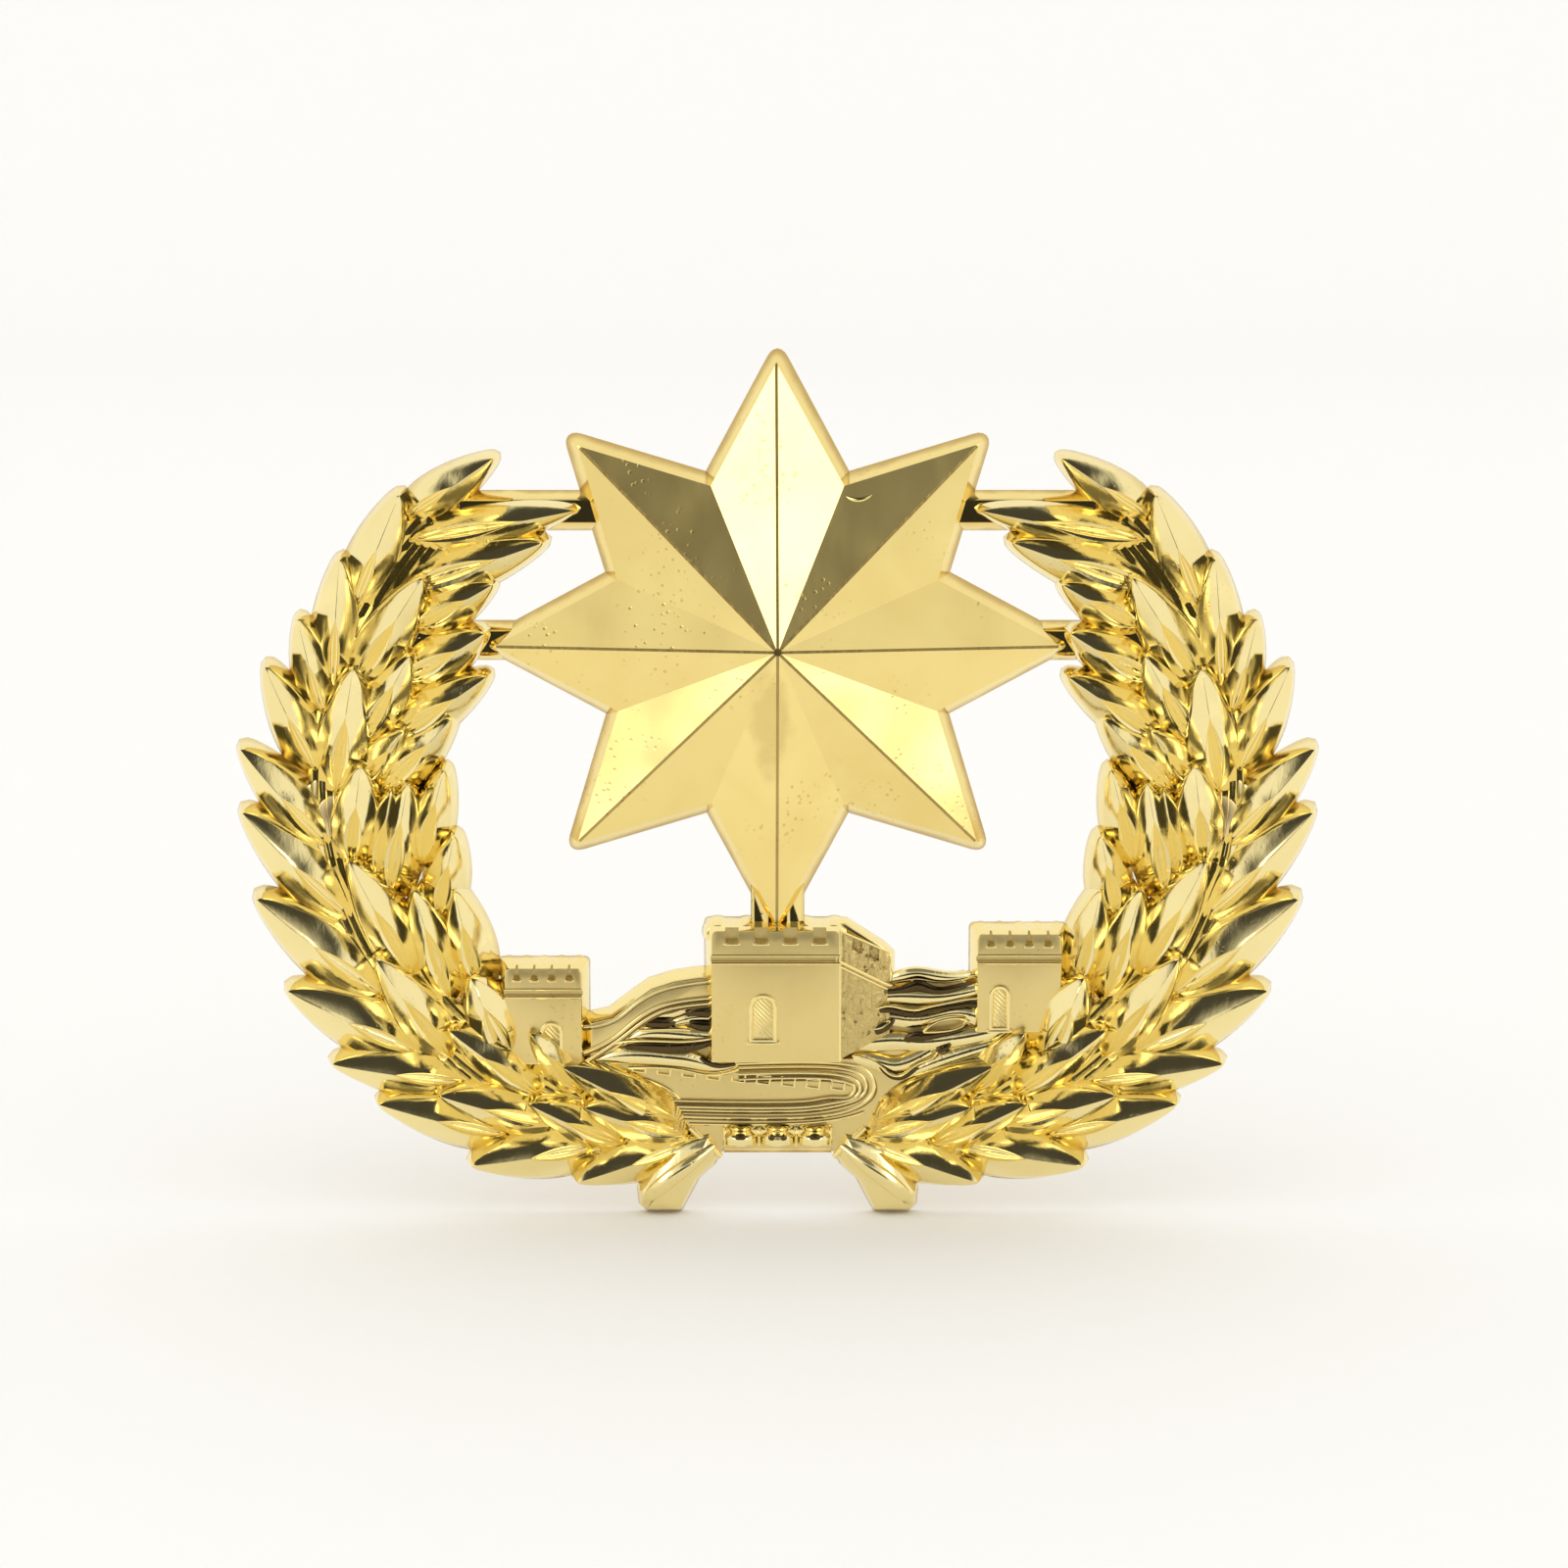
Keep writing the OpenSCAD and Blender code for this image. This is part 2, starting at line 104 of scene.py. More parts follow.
class Slot(Enum):
    """The record's material slots."""

    STAR = "star_gold"
    WREATH = "wreath_gold"
    RELIEF = "relief_gold"
    STUD = "stud_brass"
    NUT = "nut_brass"
    WASHER = "washer_steel"


# ---- shader groups


class ShaderNodes:
    """A node tree being wired up, with short calls for the nodes the finishes use."""

    def __init__(self, tree: bpy.types.NodeTree) -> None:
        """Keeps the tree."""
        self.tree = tree

    def add(self, kind: str, **settings: object) -> bpy.types.Node:
        """Adds a node and sets its properties.

        Args:
            kind: the node's type name.
            settings: property names and values.

        Returns:
            The new node.
        """
        node = self.tree.nodes.new(kind)
        for name, value in settings.items():
            setattr(node, name, value)
        return node

    def join(self, source: object, target: object) -> None:
        """Feeds a socket, or a plain value, into a socket.

        Args:
            source: an output socket, or the value to set.
            target: the input socket.
        """
        if isinstance(source, bpy.types.NodeSocket):
            self.tree.links.new(source, target)
        else:
            target.default_value = source

    def math(self, operation: str, first: object, second: object = 0.0) -> object:
        """Adds a math node.

        Args:
            operation: ADD, MULTIPLY and so on.
            first: first value or socket.
            second: second value or socket.

        Returns:
            The result's socket.
        """
        node = self.add("ShaderNodeMath", operation=operation)
        self.join(first, node.inputs[0])
        self.join(second, node.inputs[1])
        return node.outputs[0]

    def span(self, value: object, low: object, high: object, start: float = 0.0,
        end: float = 1.0) -> object:
        """Maps a value from one span smoothly to another, and holds it at the ends.

        Args:
            value: the socket to map.
            low: where the result is start.
            high: where the result is end.
            start: result at low.
            end: result at high.

        Returns:
            The result's socket.
        """
        node = self.add("ShaderNodeMapRange", interpolation_type="SMOOTHSTEP")
        for source, target in ((value, "Value"), (low, "From Min"), (high, "From Max"), (start, "To Min"),
            (end, "To Max")):
            self.join(source, node.inputs[target])
        return node.outputs["Result"]

    def blend(self, factor: object, first: object, second: object) -> object:
        """Blends two colours.

        Args:
            factor: 0 gives the first, 1 the second.
            first: colour or socket.
            second: colour or socket.

        Returns:
            The blended colour's socket.
        """
        node = self.add("ShaderNodeMix", data_type="RGBA")
        self.join(factor, node.inputs["Factor"])
        self.join(first, node.inputs[6])
        self.join(second, node.inputs[7])
        return node.outputs[2]

    def noise(self, place: object, scale: object, detail: float = 3.0, distortion: float = 0.0) -> object:
        """Adds a noise texture.

        Args:
            place: coordinate socket.
            scale: noise scale, per metre of the object.
            detail: octaves.
            distortion: how much the pattern is stirred.

        Returns:
            The noise value's socket.
        """
        node = self.add("ShaderNodeTexNoise")
        node.inputs["Detail"].default_value = detail
        node.inputs["Distortion"].default_value = distortion
        self.join(place, node.inputs["Vector"])
        self.join(scale, node.inputs["Scale"])
        return node.outputs["Fac"]


class EffectGroup:
    """Base of the shared effects: a shader node group built once and placed by name."""

    name = ""
    inputs: Sequence[tuple[str, str, object]] = ()
    outputs: Sequence[tuple[str, str]] = ()

    def group(self) -> bpy.types.NodeTree:
        """Finds the group, or builds it the first time.

        Returns:
            The node group.
        """
        tree = bpy.data.node_groups.get(self.name)
        if tree is not None:
            return tree
        tree = bpy.data.node_groups.new(self.name, "ShaderNodeTree")
        for label, kind, value in self.inputs:
            socket = tree.interface.new_socket(label, in_out="INPUT", socket_type=kind)
            if value is not None:
                socket.default_value = value
        for label, kind in self.outputs:
            tree.interface.new_socket(label, in_out="OUTPUT", socket_type=kind)
        nodes = ShaderNodes(tree)
        entry = nodes.add("NodeGroupInput")
        ending = nodes.add("NodeGroupOutput")
        self.wire(nodes, entry.outputs, ending.inputs)
        return tree

    def wire(self, nodes: ShaderNodes, given: object, result: object) -> None:
        """Wires the effect between the group's inputs and outputs."""
        raise NotImplementedError

    def place(self, nodes: ShaderNodes, **values: object) -> bpy.types.Node:
        """Places the group in a material.

        Args:
            nodes: the material's tree.
            values: input names, with underscores for spaces, and their sockets or values.

        Returns:
            The group node.
        """
        node = nodes.add("ShaderNodeGroup")
        node.node_tree = self.group()
        for name, value in values.items():
            nodes.join(value, node.inputs[name.replace("_", " ")])
        return node


class HandledSurface(EffectGroup):
    """Fine drag marks and small pits, as a plated badge gets from being handled."""

    name = "Handled surface"
    inputs = (
        ("Place", "NodeSocketVector", None),
        ("Drag scale", "NodeSocketFloat", 900.0),
        ("Drag depth", "NodeSocketFloat", 0.3),
        ("Pit scale", "NodeSocketFloat", 1400.0),
        ("Pit amount", "NodeSocketFloat", 0.1),
    )
    outputs = (("Height", "NodeSocketFloat"), ("Pits", "NodeSocketFloat"), ("Drags", "NodeSocketFloat"))

    def wire(self, nodes: ShaderNodes, given: object, result: object) -> None:
        """Wires stretched noise for the drags and sparse cells for the pits.

        Args:
            nodes: the group's tree.
            given: the group's inputs.
            result: the group's outputs.
        """
        stretch = nodes.add("ShaderNodeMapping")
        stretch.inputs["Rotation"].default_value = (0.0, math.radians(35), 0.0)
        stretch.inputs["Scale"].default_value = (1.0, 1.0, 0.12)
        nodes.join(given["Place"], stretch.inputs["Vector"])
        drags = nodes.noise(stretch.outputs["Vector"], given["Drag scale"], 4.0, 0.4)
        cells = nodes.add("ShaderNodeTexVoronoi", feature="F1")
        nodes.join(given["Place"], cells.inputs["Vector"])
        nodes.join(given["Pit scale"], cells.inputs["Scale"])
        near = nodes.span(cells.outputs["Distance"], 0.28, 0.12)
        patchy = nodes.span(nodes.noise(given["Place"], 260.0, 2.0), 0.52, 0.66)
        pits = nodes.math("MULTIPLY", nodes.math("MULTIPLY", near, patchy), given["Pit amount"])
        drag_height = nodes.math("MULTIPLY", drags, given["Drag depth"])
        nodes.join(nodes.math("SUBTRACT", drag_height, pits), result["Height"])
        nodes.join(pits, result["Pits"])
        nodes.join(drags, result["Drags"])


class RecessShadeMask(EffectGroup):
    """Masks what lies deep in the relief; the finishes paint shade there by darkening the colour, and make
    the metal a little rougher.
    """

    name = "Recess painted shade"
    inputs = (
        ("Place", "NodeSocketVector", None),
        ("Deep", "NodeSocketFloat", -0.0004),
        ("Shallow", "NodeSocketFloat", -0.0014),
    )
    outputs = (("Mask", "NodeSocketFloat"),)

    def wire(self, nodes: ShaderNodes, given: object, result: object) -> None:
        """Wires the piece's depth behind the front, with a stirred edge.

        Args:
            nodes: the group's tree.
            given: the group's inputs.
            result: the group's outputs.
        """
        split = nodes.add("ShaderNodeSeparateXYZ")
        nodes.join(given["Place"], split.inputs[0])
        stir = nodes.math("MULTIPLY", nodes.math("SUBTRACT", nodes.noise(given["Place"], 700.0), 0.5),
            0.0006)
        depth = nodes.math("ADD", split.outputs["Y"], stir)
        nodes.join(nodes.span(depth, given["Shallow"], given["Deep"]), result["Mask"])


class HatchedGround(EffectGroup):
    """Fine slanted lines cut side by side, as on the door panels and side walls."""

    name = "Hatched ground"
    inputs = (
        ("Place", "NodeSocketVector", None),
        ("Pitch scale", "NodeSocketFloat", 2400.0),
        ("Roughening", "NodeSocketFloat", 0.3),
    )
    outputs = (("Height", "NodeSocketFloat"),)

    def wire(self, nodes: ShaderNodes, given: object, result: object) -> None:
        """Wires a slanted band pattern broken up by noise.

        Args:
            nodes: the group's tree.
            given: the group's inputs.
            result: the group's outputs.
        """
        bands = nodes.add("ShaderNodeTexWave", wave_type="BANDS", bands_direction="DIAGONAL")
        bands.inputs["Distortion"].default_value = 1.2
        nodes.join(given["Place"], bands.inputs["Vector"])
        nodes.join(given["Pitch scale"], bands.inputs["Scale"])
        rough = nodes.math("MULTIPLY", nodes.noise(given["Place"], 2600.0, 4.0), given["Roughening"])
        nodes.join(nodes.math("ADD", bands.outputs["Fac"], rough), result["Height"])


class ScuffedSpot(EffectGroup):
    """Marks a ragged spot where the metal is scuffed and pitted."""

    name = "Scuffed spot"
    inputs = (
        ("Place", "NodeSocketVector", None),
        ("Across", "NodeSocketFloat", 0.0),
        ("Up", "NodeSocketFloat", 0.0),
        ("Reach", "NodeSocketFloat", 0.004),
    )
    outputs = (("Mask", "NodeSocketFloat"),)

    def wire(self, nodes: ShaderNodes, given: object, result: object) -> None:
        """Wires the distance from the spot's middle, narrowed and broken up by noise.

        Args:
            nodes: the group's tree.
            given: the group's inputs.
            result: the group's outputs.
        """
        split = nodes.add("ShaderNodeSeparateXYZ")
        nodes.join(given["Place"], split.inputs[0])
        across = nodes.math("MULTIPLY", nodes.math("SUBTRACT", split.outputs["X"], given["Across"]), 2.6)
        up = nodes.math("SUBTRACT", split.outputs["Z"], given["Up"])
        squares = nodes.math("ADD", nodes.math("MULTIPLY", across, across), nodes.math("MULTIPLY", up, up))
        away = nodes.math("DIVIDE", nodes.math("SQRT", squares), given["Reach"])
        ragged = nodes.math("ADD", away,
            nodes.math("SUBTRACT", nodes.noise(given["Place"], 900.0, 3.0), 0.5))
        nodes.join(nodes.span(ragged, 1.0, 0.45), result["Mask"])


HANDLED = HandledSurface()
RECESS_SHADE = RecessShadeMask()
HATCH = HatchedGround()
SCUFF = ScuffedSpot()


# ---- finishes


@dataclass(frozen=True)
class MetalFinish:
    """A plated or turned metal finish.

    Attributes:
        name: the material's name.
        bright: colour of the polished metal.
        deep: colour where it is worn or tarnished.
        recess: colour of pits and scuffs, and of the shade painted deep in the relief.
        roughness: of the polished metal.
        patchiness: how far the roughness wanders.
        grain_scale: scale of the drag marks.
        grain_depth: height of the drag marks, as a share.
        pits: amount of small pits.
        bump: distance of the bump, in metres.
        recess_span: depths at which the painted shade of the recesses is full and gone, in metres.
        pit_scale: scale of the pits.
        hatch: height of cut slanted lines, as a share.
        stipple: height of a hammered, grainy ground, as a share.
        swell: height of broad, shallow swells, as a share.
        dish: height of the dish's middle, in metres, and how strongly the faces are dished round it.
        scuff: middle and reach of a scuffed spot, in metres; a reach of 0 leaves it out.
    """

    name: str
    bright: Colour
    deep: Colour
    recess: Colour
    roughness: float
    patchiness: float = 0.08
    grain_scale: float = 1600.0
    grain_depth: float = 0.6
    pits: float = 0.4
    bump: float = 1.4e-05
    recess_span: tuple[float, float] = (-0.0002, -0.001)
    pit_scale: float = 2600.0
    hatch: float = 0.0
    stipple: float = 0.0
    swell: float = 0.0
    dish: tuple[float, float] = (0.0, 0.0)
    scuff: tuple[float, float, float] = (0.0, 0.0, 0.0)

    def material(self) -> bpy.types.Material:
        """Finds the material, or builds it the first time.

        Returns:
            The material.
        """
        made = bpy.data.materials.get(self.name)
        if made is not None:
            return made
        made = bpy.data.materials.new(self.name)
        made.use_nodes = True
        nodes = ShaderNodes(made.node_tree)
        shader = made.node_tree.nodes["Principled BSDF"]
        shader.inputs["Metallic"].default_value = 1.0
        place = nodes.add("ShaderNodeTexCoord").outputs["Object"]
        worn = HANDLED.place(nodes, Place=place, Drag_scale=self.grain_scale, Drag_depth=self.grain_depth,
            Pit_scale=self.pit_scale, Pit_amount=self.pits)
        deep = RECESS_SHADE.place(nodes, Place=place, Deep=self.recess_span[0], Shallow=self.recess_span[1])
        cloud = nodes.span(nodes.noise(place, 180.0, 4.0, 0.6), 0.35, 0.7)
        tone = nodes.blend(nodes.math("MULTIPLY", cloud, 0.35), (*self.bright, 1.0), (*self.deep, 1.0))
        tone = nodes.blend(nodes.math("MULTIPLY", worn.outputs["Pits"], 0.8), tone, (*self.recess, 1.0))
        # Painted shade: the colour darkens deep in the relief.
        tone = nodes.blend(nodes.math("MULTIPLY", deep.outputs["Mask"], 0.75), tone, (*self.recess, 1.0))
        nodes.join(tone, shader.inputs["Base Color"])
        wander = nodes.math("MULTIPLY", worn.outputs["Drags"], self.patchiness)
        rough = nodes.math("ADD", nodes.math("ADD", wander, self.roughness - self.patchiness / 2),
            nodes.math("MULTIPLY", deep.outputs["Mask"], 0.12))
        nodes.join(rough, shader.inputs["Roughness"])
        height = worn.outputs["Height"]
        if self.hatch:
            cuts = HATCH.place(nodes, Place=place).outputs["Height"]
            height = nodes.math("ADD", height, nodes.math("MULTIPLY", cuts, self.hatch))
        if self.stipple:
            grains = nodes.noise(place, 2600.0, 3.0, 0.5)
            height = nodes.math("ADD", height, nodes.math("MULTIPLY", grains, self.stipple))
        if self.swell:
            swells = nodes.noise(place, 150.0, 1.0)
            height = nodes.math("ADD", height, nodes.math("MULTIPLY", swells, self.swell))
        if self.dish[1]:
            away = nodes.add("ShaderNodeVectorMath", operation="SUBTRACT")
            nodes.join(place, away.inputs[0])
            away.inputs[1].default_value = (0.0, 0.0, self.dish[0])
            square = nodes.add("ShaderNodeVectorMath", operation="DOT_PRODUCT")
            nodes.join(away.outputs["Vector"], square.inputs[0])
            nodes.join(away.outputs["Vector"], square.inputs[1])
            height = nodes.math("ADD", height,
                nodes.math("MULTIPLY", square.outputs["Value"], self.dish[1]))
        if self.scuff[2]:
            scuffed = SCUFF.place(nodes, Place=place, Across=self.scuff[0], Up=self.scuff[1],
                Reach=self.scuff[2]).outputs["Mask"]
            pitted = nodes.math("MULTIPLY", nodes.noise(place, 2200.0, 3.0),
                nodes.math("MULTIPLY", scuffed, 5.0))
            height = nodes.math("ADD", height, pitted)
            tone = nodes.blend(nodes.math("MULTIPLY", scuffed, 0.3), tone, (*self.recess, 1.0))
            nodes.join(tone, shader.inputs["Base Color"])
        bump = nodes.add("ShaderNodeBump")
        bump.inputs["Distance"].default_value = self.bump
        bump.inputs["Strength"].default_value = 1.0
        nodes.join(height, bump.inputs["Height"])
        nodes.join(bump.outputs["Normal"], shader.inputs["Normal"])
        return made


POLISHED_STAR = MetalFinish("Polished star gold", bright=(0.93, 0.75, 0.29), deep=(0.8, 0.58, 0.18),
    recess=(0.45, 0.28, 0.07), roughness=0.13, grain_scale=700.0, grain_depth=0.45, pits=0.6, bump=8e-06,
    pit_scale=2400.0, swell=18.0, dish=(0.00965, 140000.0), scuff=(-0.0004, 0.0056, 0.0036))
# Dark gold for the star's ridge bevels: a painted dark reflection along each ridge.
RIDGE_DARK_REFLECTION = MetalFinish("Ridge painted dark reflection", bright=(0.5, 0.36, 0.12), deep=(0.3, 0.2, 0.06),
    recess=(0.2, 0.12, 0.03), roughness=0.3, patchiness=0.1, grain_scale=2600.0, grain_depth=1.0,
    pits=0.8, bump=2e-05)
BRIGHT_WREATH = MetalFinish("Bright wreath gold", bright=(0.94, 0.8, 0.39), deep=(0.87, 0.71, 0.31),
    recess=(0.72, 0.54, 0.22), roughness=0.12, grain_scale=2200.0, grain_depth=0.8, pits=0.3,
    pit_scale=3000.0)
# Dark gold painted as shade in grooves, gaps, notch floors and under the wall courses.
DARK_PAINTED_SHADE = MetalFinish("Dark painted shade gold", bright=(0.3, 0.19, 0.06), deep=(0.2, 0.12, 0.04),
    recess=(0.12, 0.07, 0.02), roughness=0.22, bump=2e-05)
# Near-black gold painted as the rocks' dark reflections and as shade in the tie band's pinches.
BLACK_SHADE_AND_REFLECTION = MetalFinish("Black hollow gold", bright=(0.1, 0.07, 0.03), deep=(0.05, 0.035, 0.015),
    recess=(0.04, 0.03, 0.01), roughness=0.18, bump=3e-05)
BAR_GOLD = MetalFinish("Polished bar gold", bright=(0.93, 0.75, 0.3), deep=(0.82, 0.58, 0.17),
    recess=(0.45, 0.28, 0.07), roughness=0.07, patchiness=0.04, grain_scale=900.0, grain_depth=0.15,
    pits=0.9, bump=1.2e-05, recess_span=(0.0, -0.0004))
SATIN_RELIEF = MetalFinish("Satin relief gold", bright=(0.84, 0.67, 0.28), deep=(0.74, 0.56, 0.2),
    recess=(0.45, 0.28, 0.07), roughness=0.34, patchiness=0.1, grain_scale=1500.0, grain_depth=0.5,
    pits=0.3, recess_span=(-0.0001, -0.0007))
EDGE_GOLD = MetalFinish("Bright edge gold", bright=(0.96, 0.8, 0.36), deep=(0.9, 0.7, 0.26),
    recess=(0.55, 0.34, 0.08), roughness=0.14, patchiness=0.06, grain_scale=1100.0, grain_depth=0.4,
    pits=0.2, bump=1e-05, recess_span=(0.0, -0.0004))
HATCHED_RELIEF = MetalFinish("Hatched relief gold", bright=(0.88, 0.71, 0.3), deep=(0.76, 0.57, 0.2),
    recess=(0.4, 0.25, 0.06), roughness=0.3, patchiness=0.1, grain_scale=1500.0, grain_depth=0.3,
    pits=0.2, bump=3e-05, recess_span=(0.0, -0.0004), hatch=1.0)
ROUGH_WALL = MetalFinish("Rough wall gold", bright=(0.62, 0.48, 0.19), deep=(0.42, 0.3, 0.1),
    recess=(0.22, 0.14, 0.04), roughness=0.3, patchiness=0.14, grain_scale=2400.0, grain_depth=1.0,
    pits=1.0, bump=0.00014, recess_span=(0.0, -0.0004), stipple=1.0)
TURNED_BRASS = MetalFinish("Turned stud brass", bright=(0.8, 0.62, 0.3), deep=(0.62, 0.45, 0.19),
    recess=(0.3, 0.2, 0.08), roughness=0.26, patchiness=0.14, recess_span=(0.02, 0.01))
NUT_BRASS = MetalFinish("Knurled nut brass", bright=(0.86, 0.67, 0.32), deep=(0.68, 0.5, 0.21),
    recess=(0.34, 0.22, 0.08), roughness=0.22, patchiness=0.14, grain_scale=1200.0,
    recess_span=(0.02, 0.01))
WASHER_STEEL = MetalFinish("Tumbled washer steel", bright=(0.74, 0.73, 0.7), deep=(0.6, 0.58, 0.55),
    recess=(0.25, 0.24, 0.22), roughness=0.28, patchiness=0.16, grain_scale=1000.0, grain_depth=0.7,
    pits=0.6, bump=1.6e-05, recess_span=(0.02, 0.01))


# ---- the bench


def clear_bench() -> None:
    """Leaves edit mode and deselects everything."""
    if bpy.context.mode != "OBJECT":
        bpy.ops.object.mode_set(mode="OBJECT")
    bpy.ops.object.select_all(action="DESELECT")


def pick_alone(obj: Piece) -> None:
    """Selects one object and nothing else.

    Args:
        obj: the object.
    """
    clear_bench()
    obj.select_set(True)
    bpy.context.view_layer.objects.active = obj


def looks_up(middle: Vector, normal: Vector) -> bool:
    """Says whether a face looks straight up from the bench."""
    return normal.z > 0.9


def leans(middle: Vector, normal: Vector) -> bool:
    """Says whether a face slopes away from the front."""
    return normal.z < 0.93


def merge_and_turn(threshold: float) -> None:
    """Merges doubled corners and turns the faces outwards, in edit mode.

    Args:
        threshold: greatest distance of the corners merged.
    """
    bpy.ops.mesh.select_all(action="SELECT")
    bpy.ops.mesh.remove_doubles(threshold=threshold)
    bpy.ops.mesh.normals_make_consistent(inside=False)


class Blank:
    """A piece being worked, lying face up and measured in millimetres."""

    def __init__(self, obj: Piece, name: str) -> None:
        """Takes an object onto the bench.

        Args:
            obj: the object.
            name: its name.
        """
        obj.name = name
        obj.data.name = name
        self.obj = obj

    @classmethod
    def block(cls, name: str, low: Sequence[float], high: Sequence[float]) -> "Blank":
        """Starts from a cube scaled to a box.

        Args:
            name: the blank's name.
            low: lowest corner.
            high: highest corner.

        Returns:
            The blank.
        """
        clear_bench()
        bpy.ops.mesh.primitive_cube_add(size=1.0)
        blank = cls(bpy.context.active_object, name)
        size = [b - a for a, b in zip(low, high)]
        middle = [(a + b) / 2 for a, b in zip(low, high)]
        blank.obj.data.transform(Matrix.Translation(middle) @ Matrix.Diagonal((*size, 1.0)))
        return blank

    @classmethod
    def round(cls, name: str, radius: float, low: float, high: float, at: Point = (0.0, 0.0),
        sides: int = 48) -> "Blank":
        """Starts from a cylinder that stands on the bench.

        Args:
            name: the blank's name.
            radius: its radius.
            low: height of its foot.
            high: height of its top.
            at: place of its axis.
            sides: number of sides.

        Returns:
            The blank.
        """
        clear_bench()
        bpy.ops.mesh.primitive_cylinder_add(vertices=sides, radius=radius, depth=high - low,
            location=(0, 0, 0))
        blank = cls(bpy.context.active_object, name)
        blank.obj.data.transform(Matrix.Translation((at[0], at[1], (low + high) / 2)))
        return blank

    @classmethod
    def grid(cls, name: str, columns: int, rows: int,
        place: Callable[[int, int], Sequence[float]]) -> "Blank":
        """Starts from a grid and lays each of its corners in place.

        Args:
            name: the blank's name.
            columns: cells one way.
            rows: cells the other way.
            place: gives a corner's place from its column and row.

        Returns:
            The blank.
        """
        clear_bench()
        bpy.ops.mesh.primitive_grid_add(x_subdivisions=columns, y_subdivisions=rows, size=2.0)
        blank = cls(bpy.context.active_object, name)
        for vertex in blank.obj.data.vertices:
            column = round((vertex.co.x + 1) / 2 * columns)
            row = round((vertex.co.y + 1) / 2 * rows)
            vertex.co = place(column, row)
        return blank

    @classmethod
    def outline(cls, name: str, corners: Sequence[Point], height: float = 0.0) -> "Blank":
        """Starts from a filled circle whose corners are moved onto an outline.

        Args:
            name: the blank's name.
            corners: the outline's corners, in order.
            height: height at which it lies.

        Returns:
            The blank.
        """
        clear_bench()
        bpy.ops.mesh.primitive_circle_add(vertices=len(corners), radius=1.0, fill_type="NGON")
        blank = cls(bpy.context.active_object, name)
        for vertex, corner in zip(blank.obj.data.vertices, corners):
            vertex.co = (corner[0], corner[1], height)
        return blank

    @contextmanager
    def open(self) -> Iterator[None]:
        """Opens the piece in edit mode and closes it afterwards.

        Yields:
            Nothing; the picks and moves are called inside.
        """
        pick_alone(self.obj)
        bpy.ops.object.mode_set(mode="EDIT")
        try:
            yield
        finally:
            bpy.ops.object.mode_set(mode="OBJECT")

    def _pick(self, kind: str, test: Callable[[object], bool]) -> int:
        """Selects the faces, edges or corners that a test wants, in edit mode.

        Args:
            kind: FACE, EDGE or VERT.
            test: says whether one is wanted.

        Returns:
            How many were selected.
        """
        bpy.ops.mesh.select_mode(type=kind)
        bpy.ops.mesh.select_all(action="DESELECT")
        mesh = bmesh.from_edit_mesh(self.obj.data)
        mesh.normal_update()
        wanted = [item for item in {"FACE": mesh.faces, "EDGE": mesh.edges,
            "VERT": mesh.verts}[kind] if test(item)]
        for item in wanted:
            item.select_set(True)
        if kind == "VERT":
            mesh.select_flush_mode()
        bmesh.update_edit_mesh(self.obj.data)
        return len(wanted)

    def pick_faces(self, test: FaceTest) -> int:
        """Selects faces by their middle and normal, in edit mode."""
        return self._pick("FACE", lambda face: test(face.calc_center_median(), face.normal))

    def pick_edges(self, test: FaceTest) -> int:
        """Selects edges by their two ends, in edit mode."""
        return self._pick("EDGE", lambda edge: test(edge.verts[0].co, edge.verts[1].co))

    def pick_corners(self, test: Callable[[Vector], bool]) -> int:
        """Selects corners by their place, in edit mode."""
        return self._pick("VERT", lambda vertex: test(vertex.co))

    def pick_rim(self) -> int:
        """Selects the open edges, in edit mode."""
        return self._pick("EDGE", lambda edge: len(edge.link_faces) == 1)

    def cap(self) -> None:
        """Closes the open rim with a face, in edit mode."""
        self.pick_rim()
        bpy.ops.mesh.edge_face_add()

    def move_picked(self, place: Callable[[Vector], Sequence[float]]) -> None:
        """Moves each selected corner to a new place, in edit mode.

        Args:
            place: gives the new place from the old one.
        """
        mesh = bmesh.from_edit_mesh(self.obj.data)
        for vertex in mesh.verts:
            if vertex.select:
                vertex.co = place(vertex.co.copy())
        bmesh.update_edit_mesh(self.obj.data)

    def face_up(self, height: float, normal_z: float = 0.9) -> int:
        """Selects the faces that lie at a height and look up, in edit mode."""
        return self.pick_faces(lambda middle,
            normal: abs(middle.z - height) < 0.02 and abs(normal.z) > normal_z)

    def draft(self, rim: float, flare: float, height: float) -> "Blank":
        """Raises a flat outline to a plate with an upright rim and drafted sides.

        Args:
            rim: height of the upright rim.
            flare: how far the sides lean in.
            height: height of the plate.

        Returns:
            This blank.
        """
        with self.open():
            bpy.ops.mesh.select_all(action="SELECT")
            bpy.ops.mesh.extrude_region_move(TRANSFORM_OT_translate={"value": (0, 0, rim)})
            bpy.ops.mesh.select_all(action="SELECT")
            bpy.ops.mesh.normals_make_consistent(inside=False)
            self.pick_faces(looks_up)
            bpy.ops.mesh.inset(thickness=flare, depth=height - rim, use_even_offset=True)
        return self

    def soften(self, width: float, steps: int = 2, angle: float = 40.0) -> "Blank":
        """Breaks the piece's sharp edges with a bevel.

        Args:
            width: width of the bevel.
            steps: segments of the bevel.
            angle: least angle of an edge that is broken, in degrees.

        Returns:
            This blank.
        """
        bevel = self.obj.modifiers.new("Broken edges", "BEVEL")
        bevel.width = width
        bevel.segments = steps
        bevel.limit_method = "ANGLE"
        bevel.angle_limit = math.radians(angle)
        bevel.harden_normals = False
        self.apply(bevel)
        return self

    def apply(self, modifier: bpy.types.Modifier) -> None:
        """Applies a modifier."""
        pick_alone(self.obj)
        bpy.ops.object.modifier_apply(modifier=modifier.name)

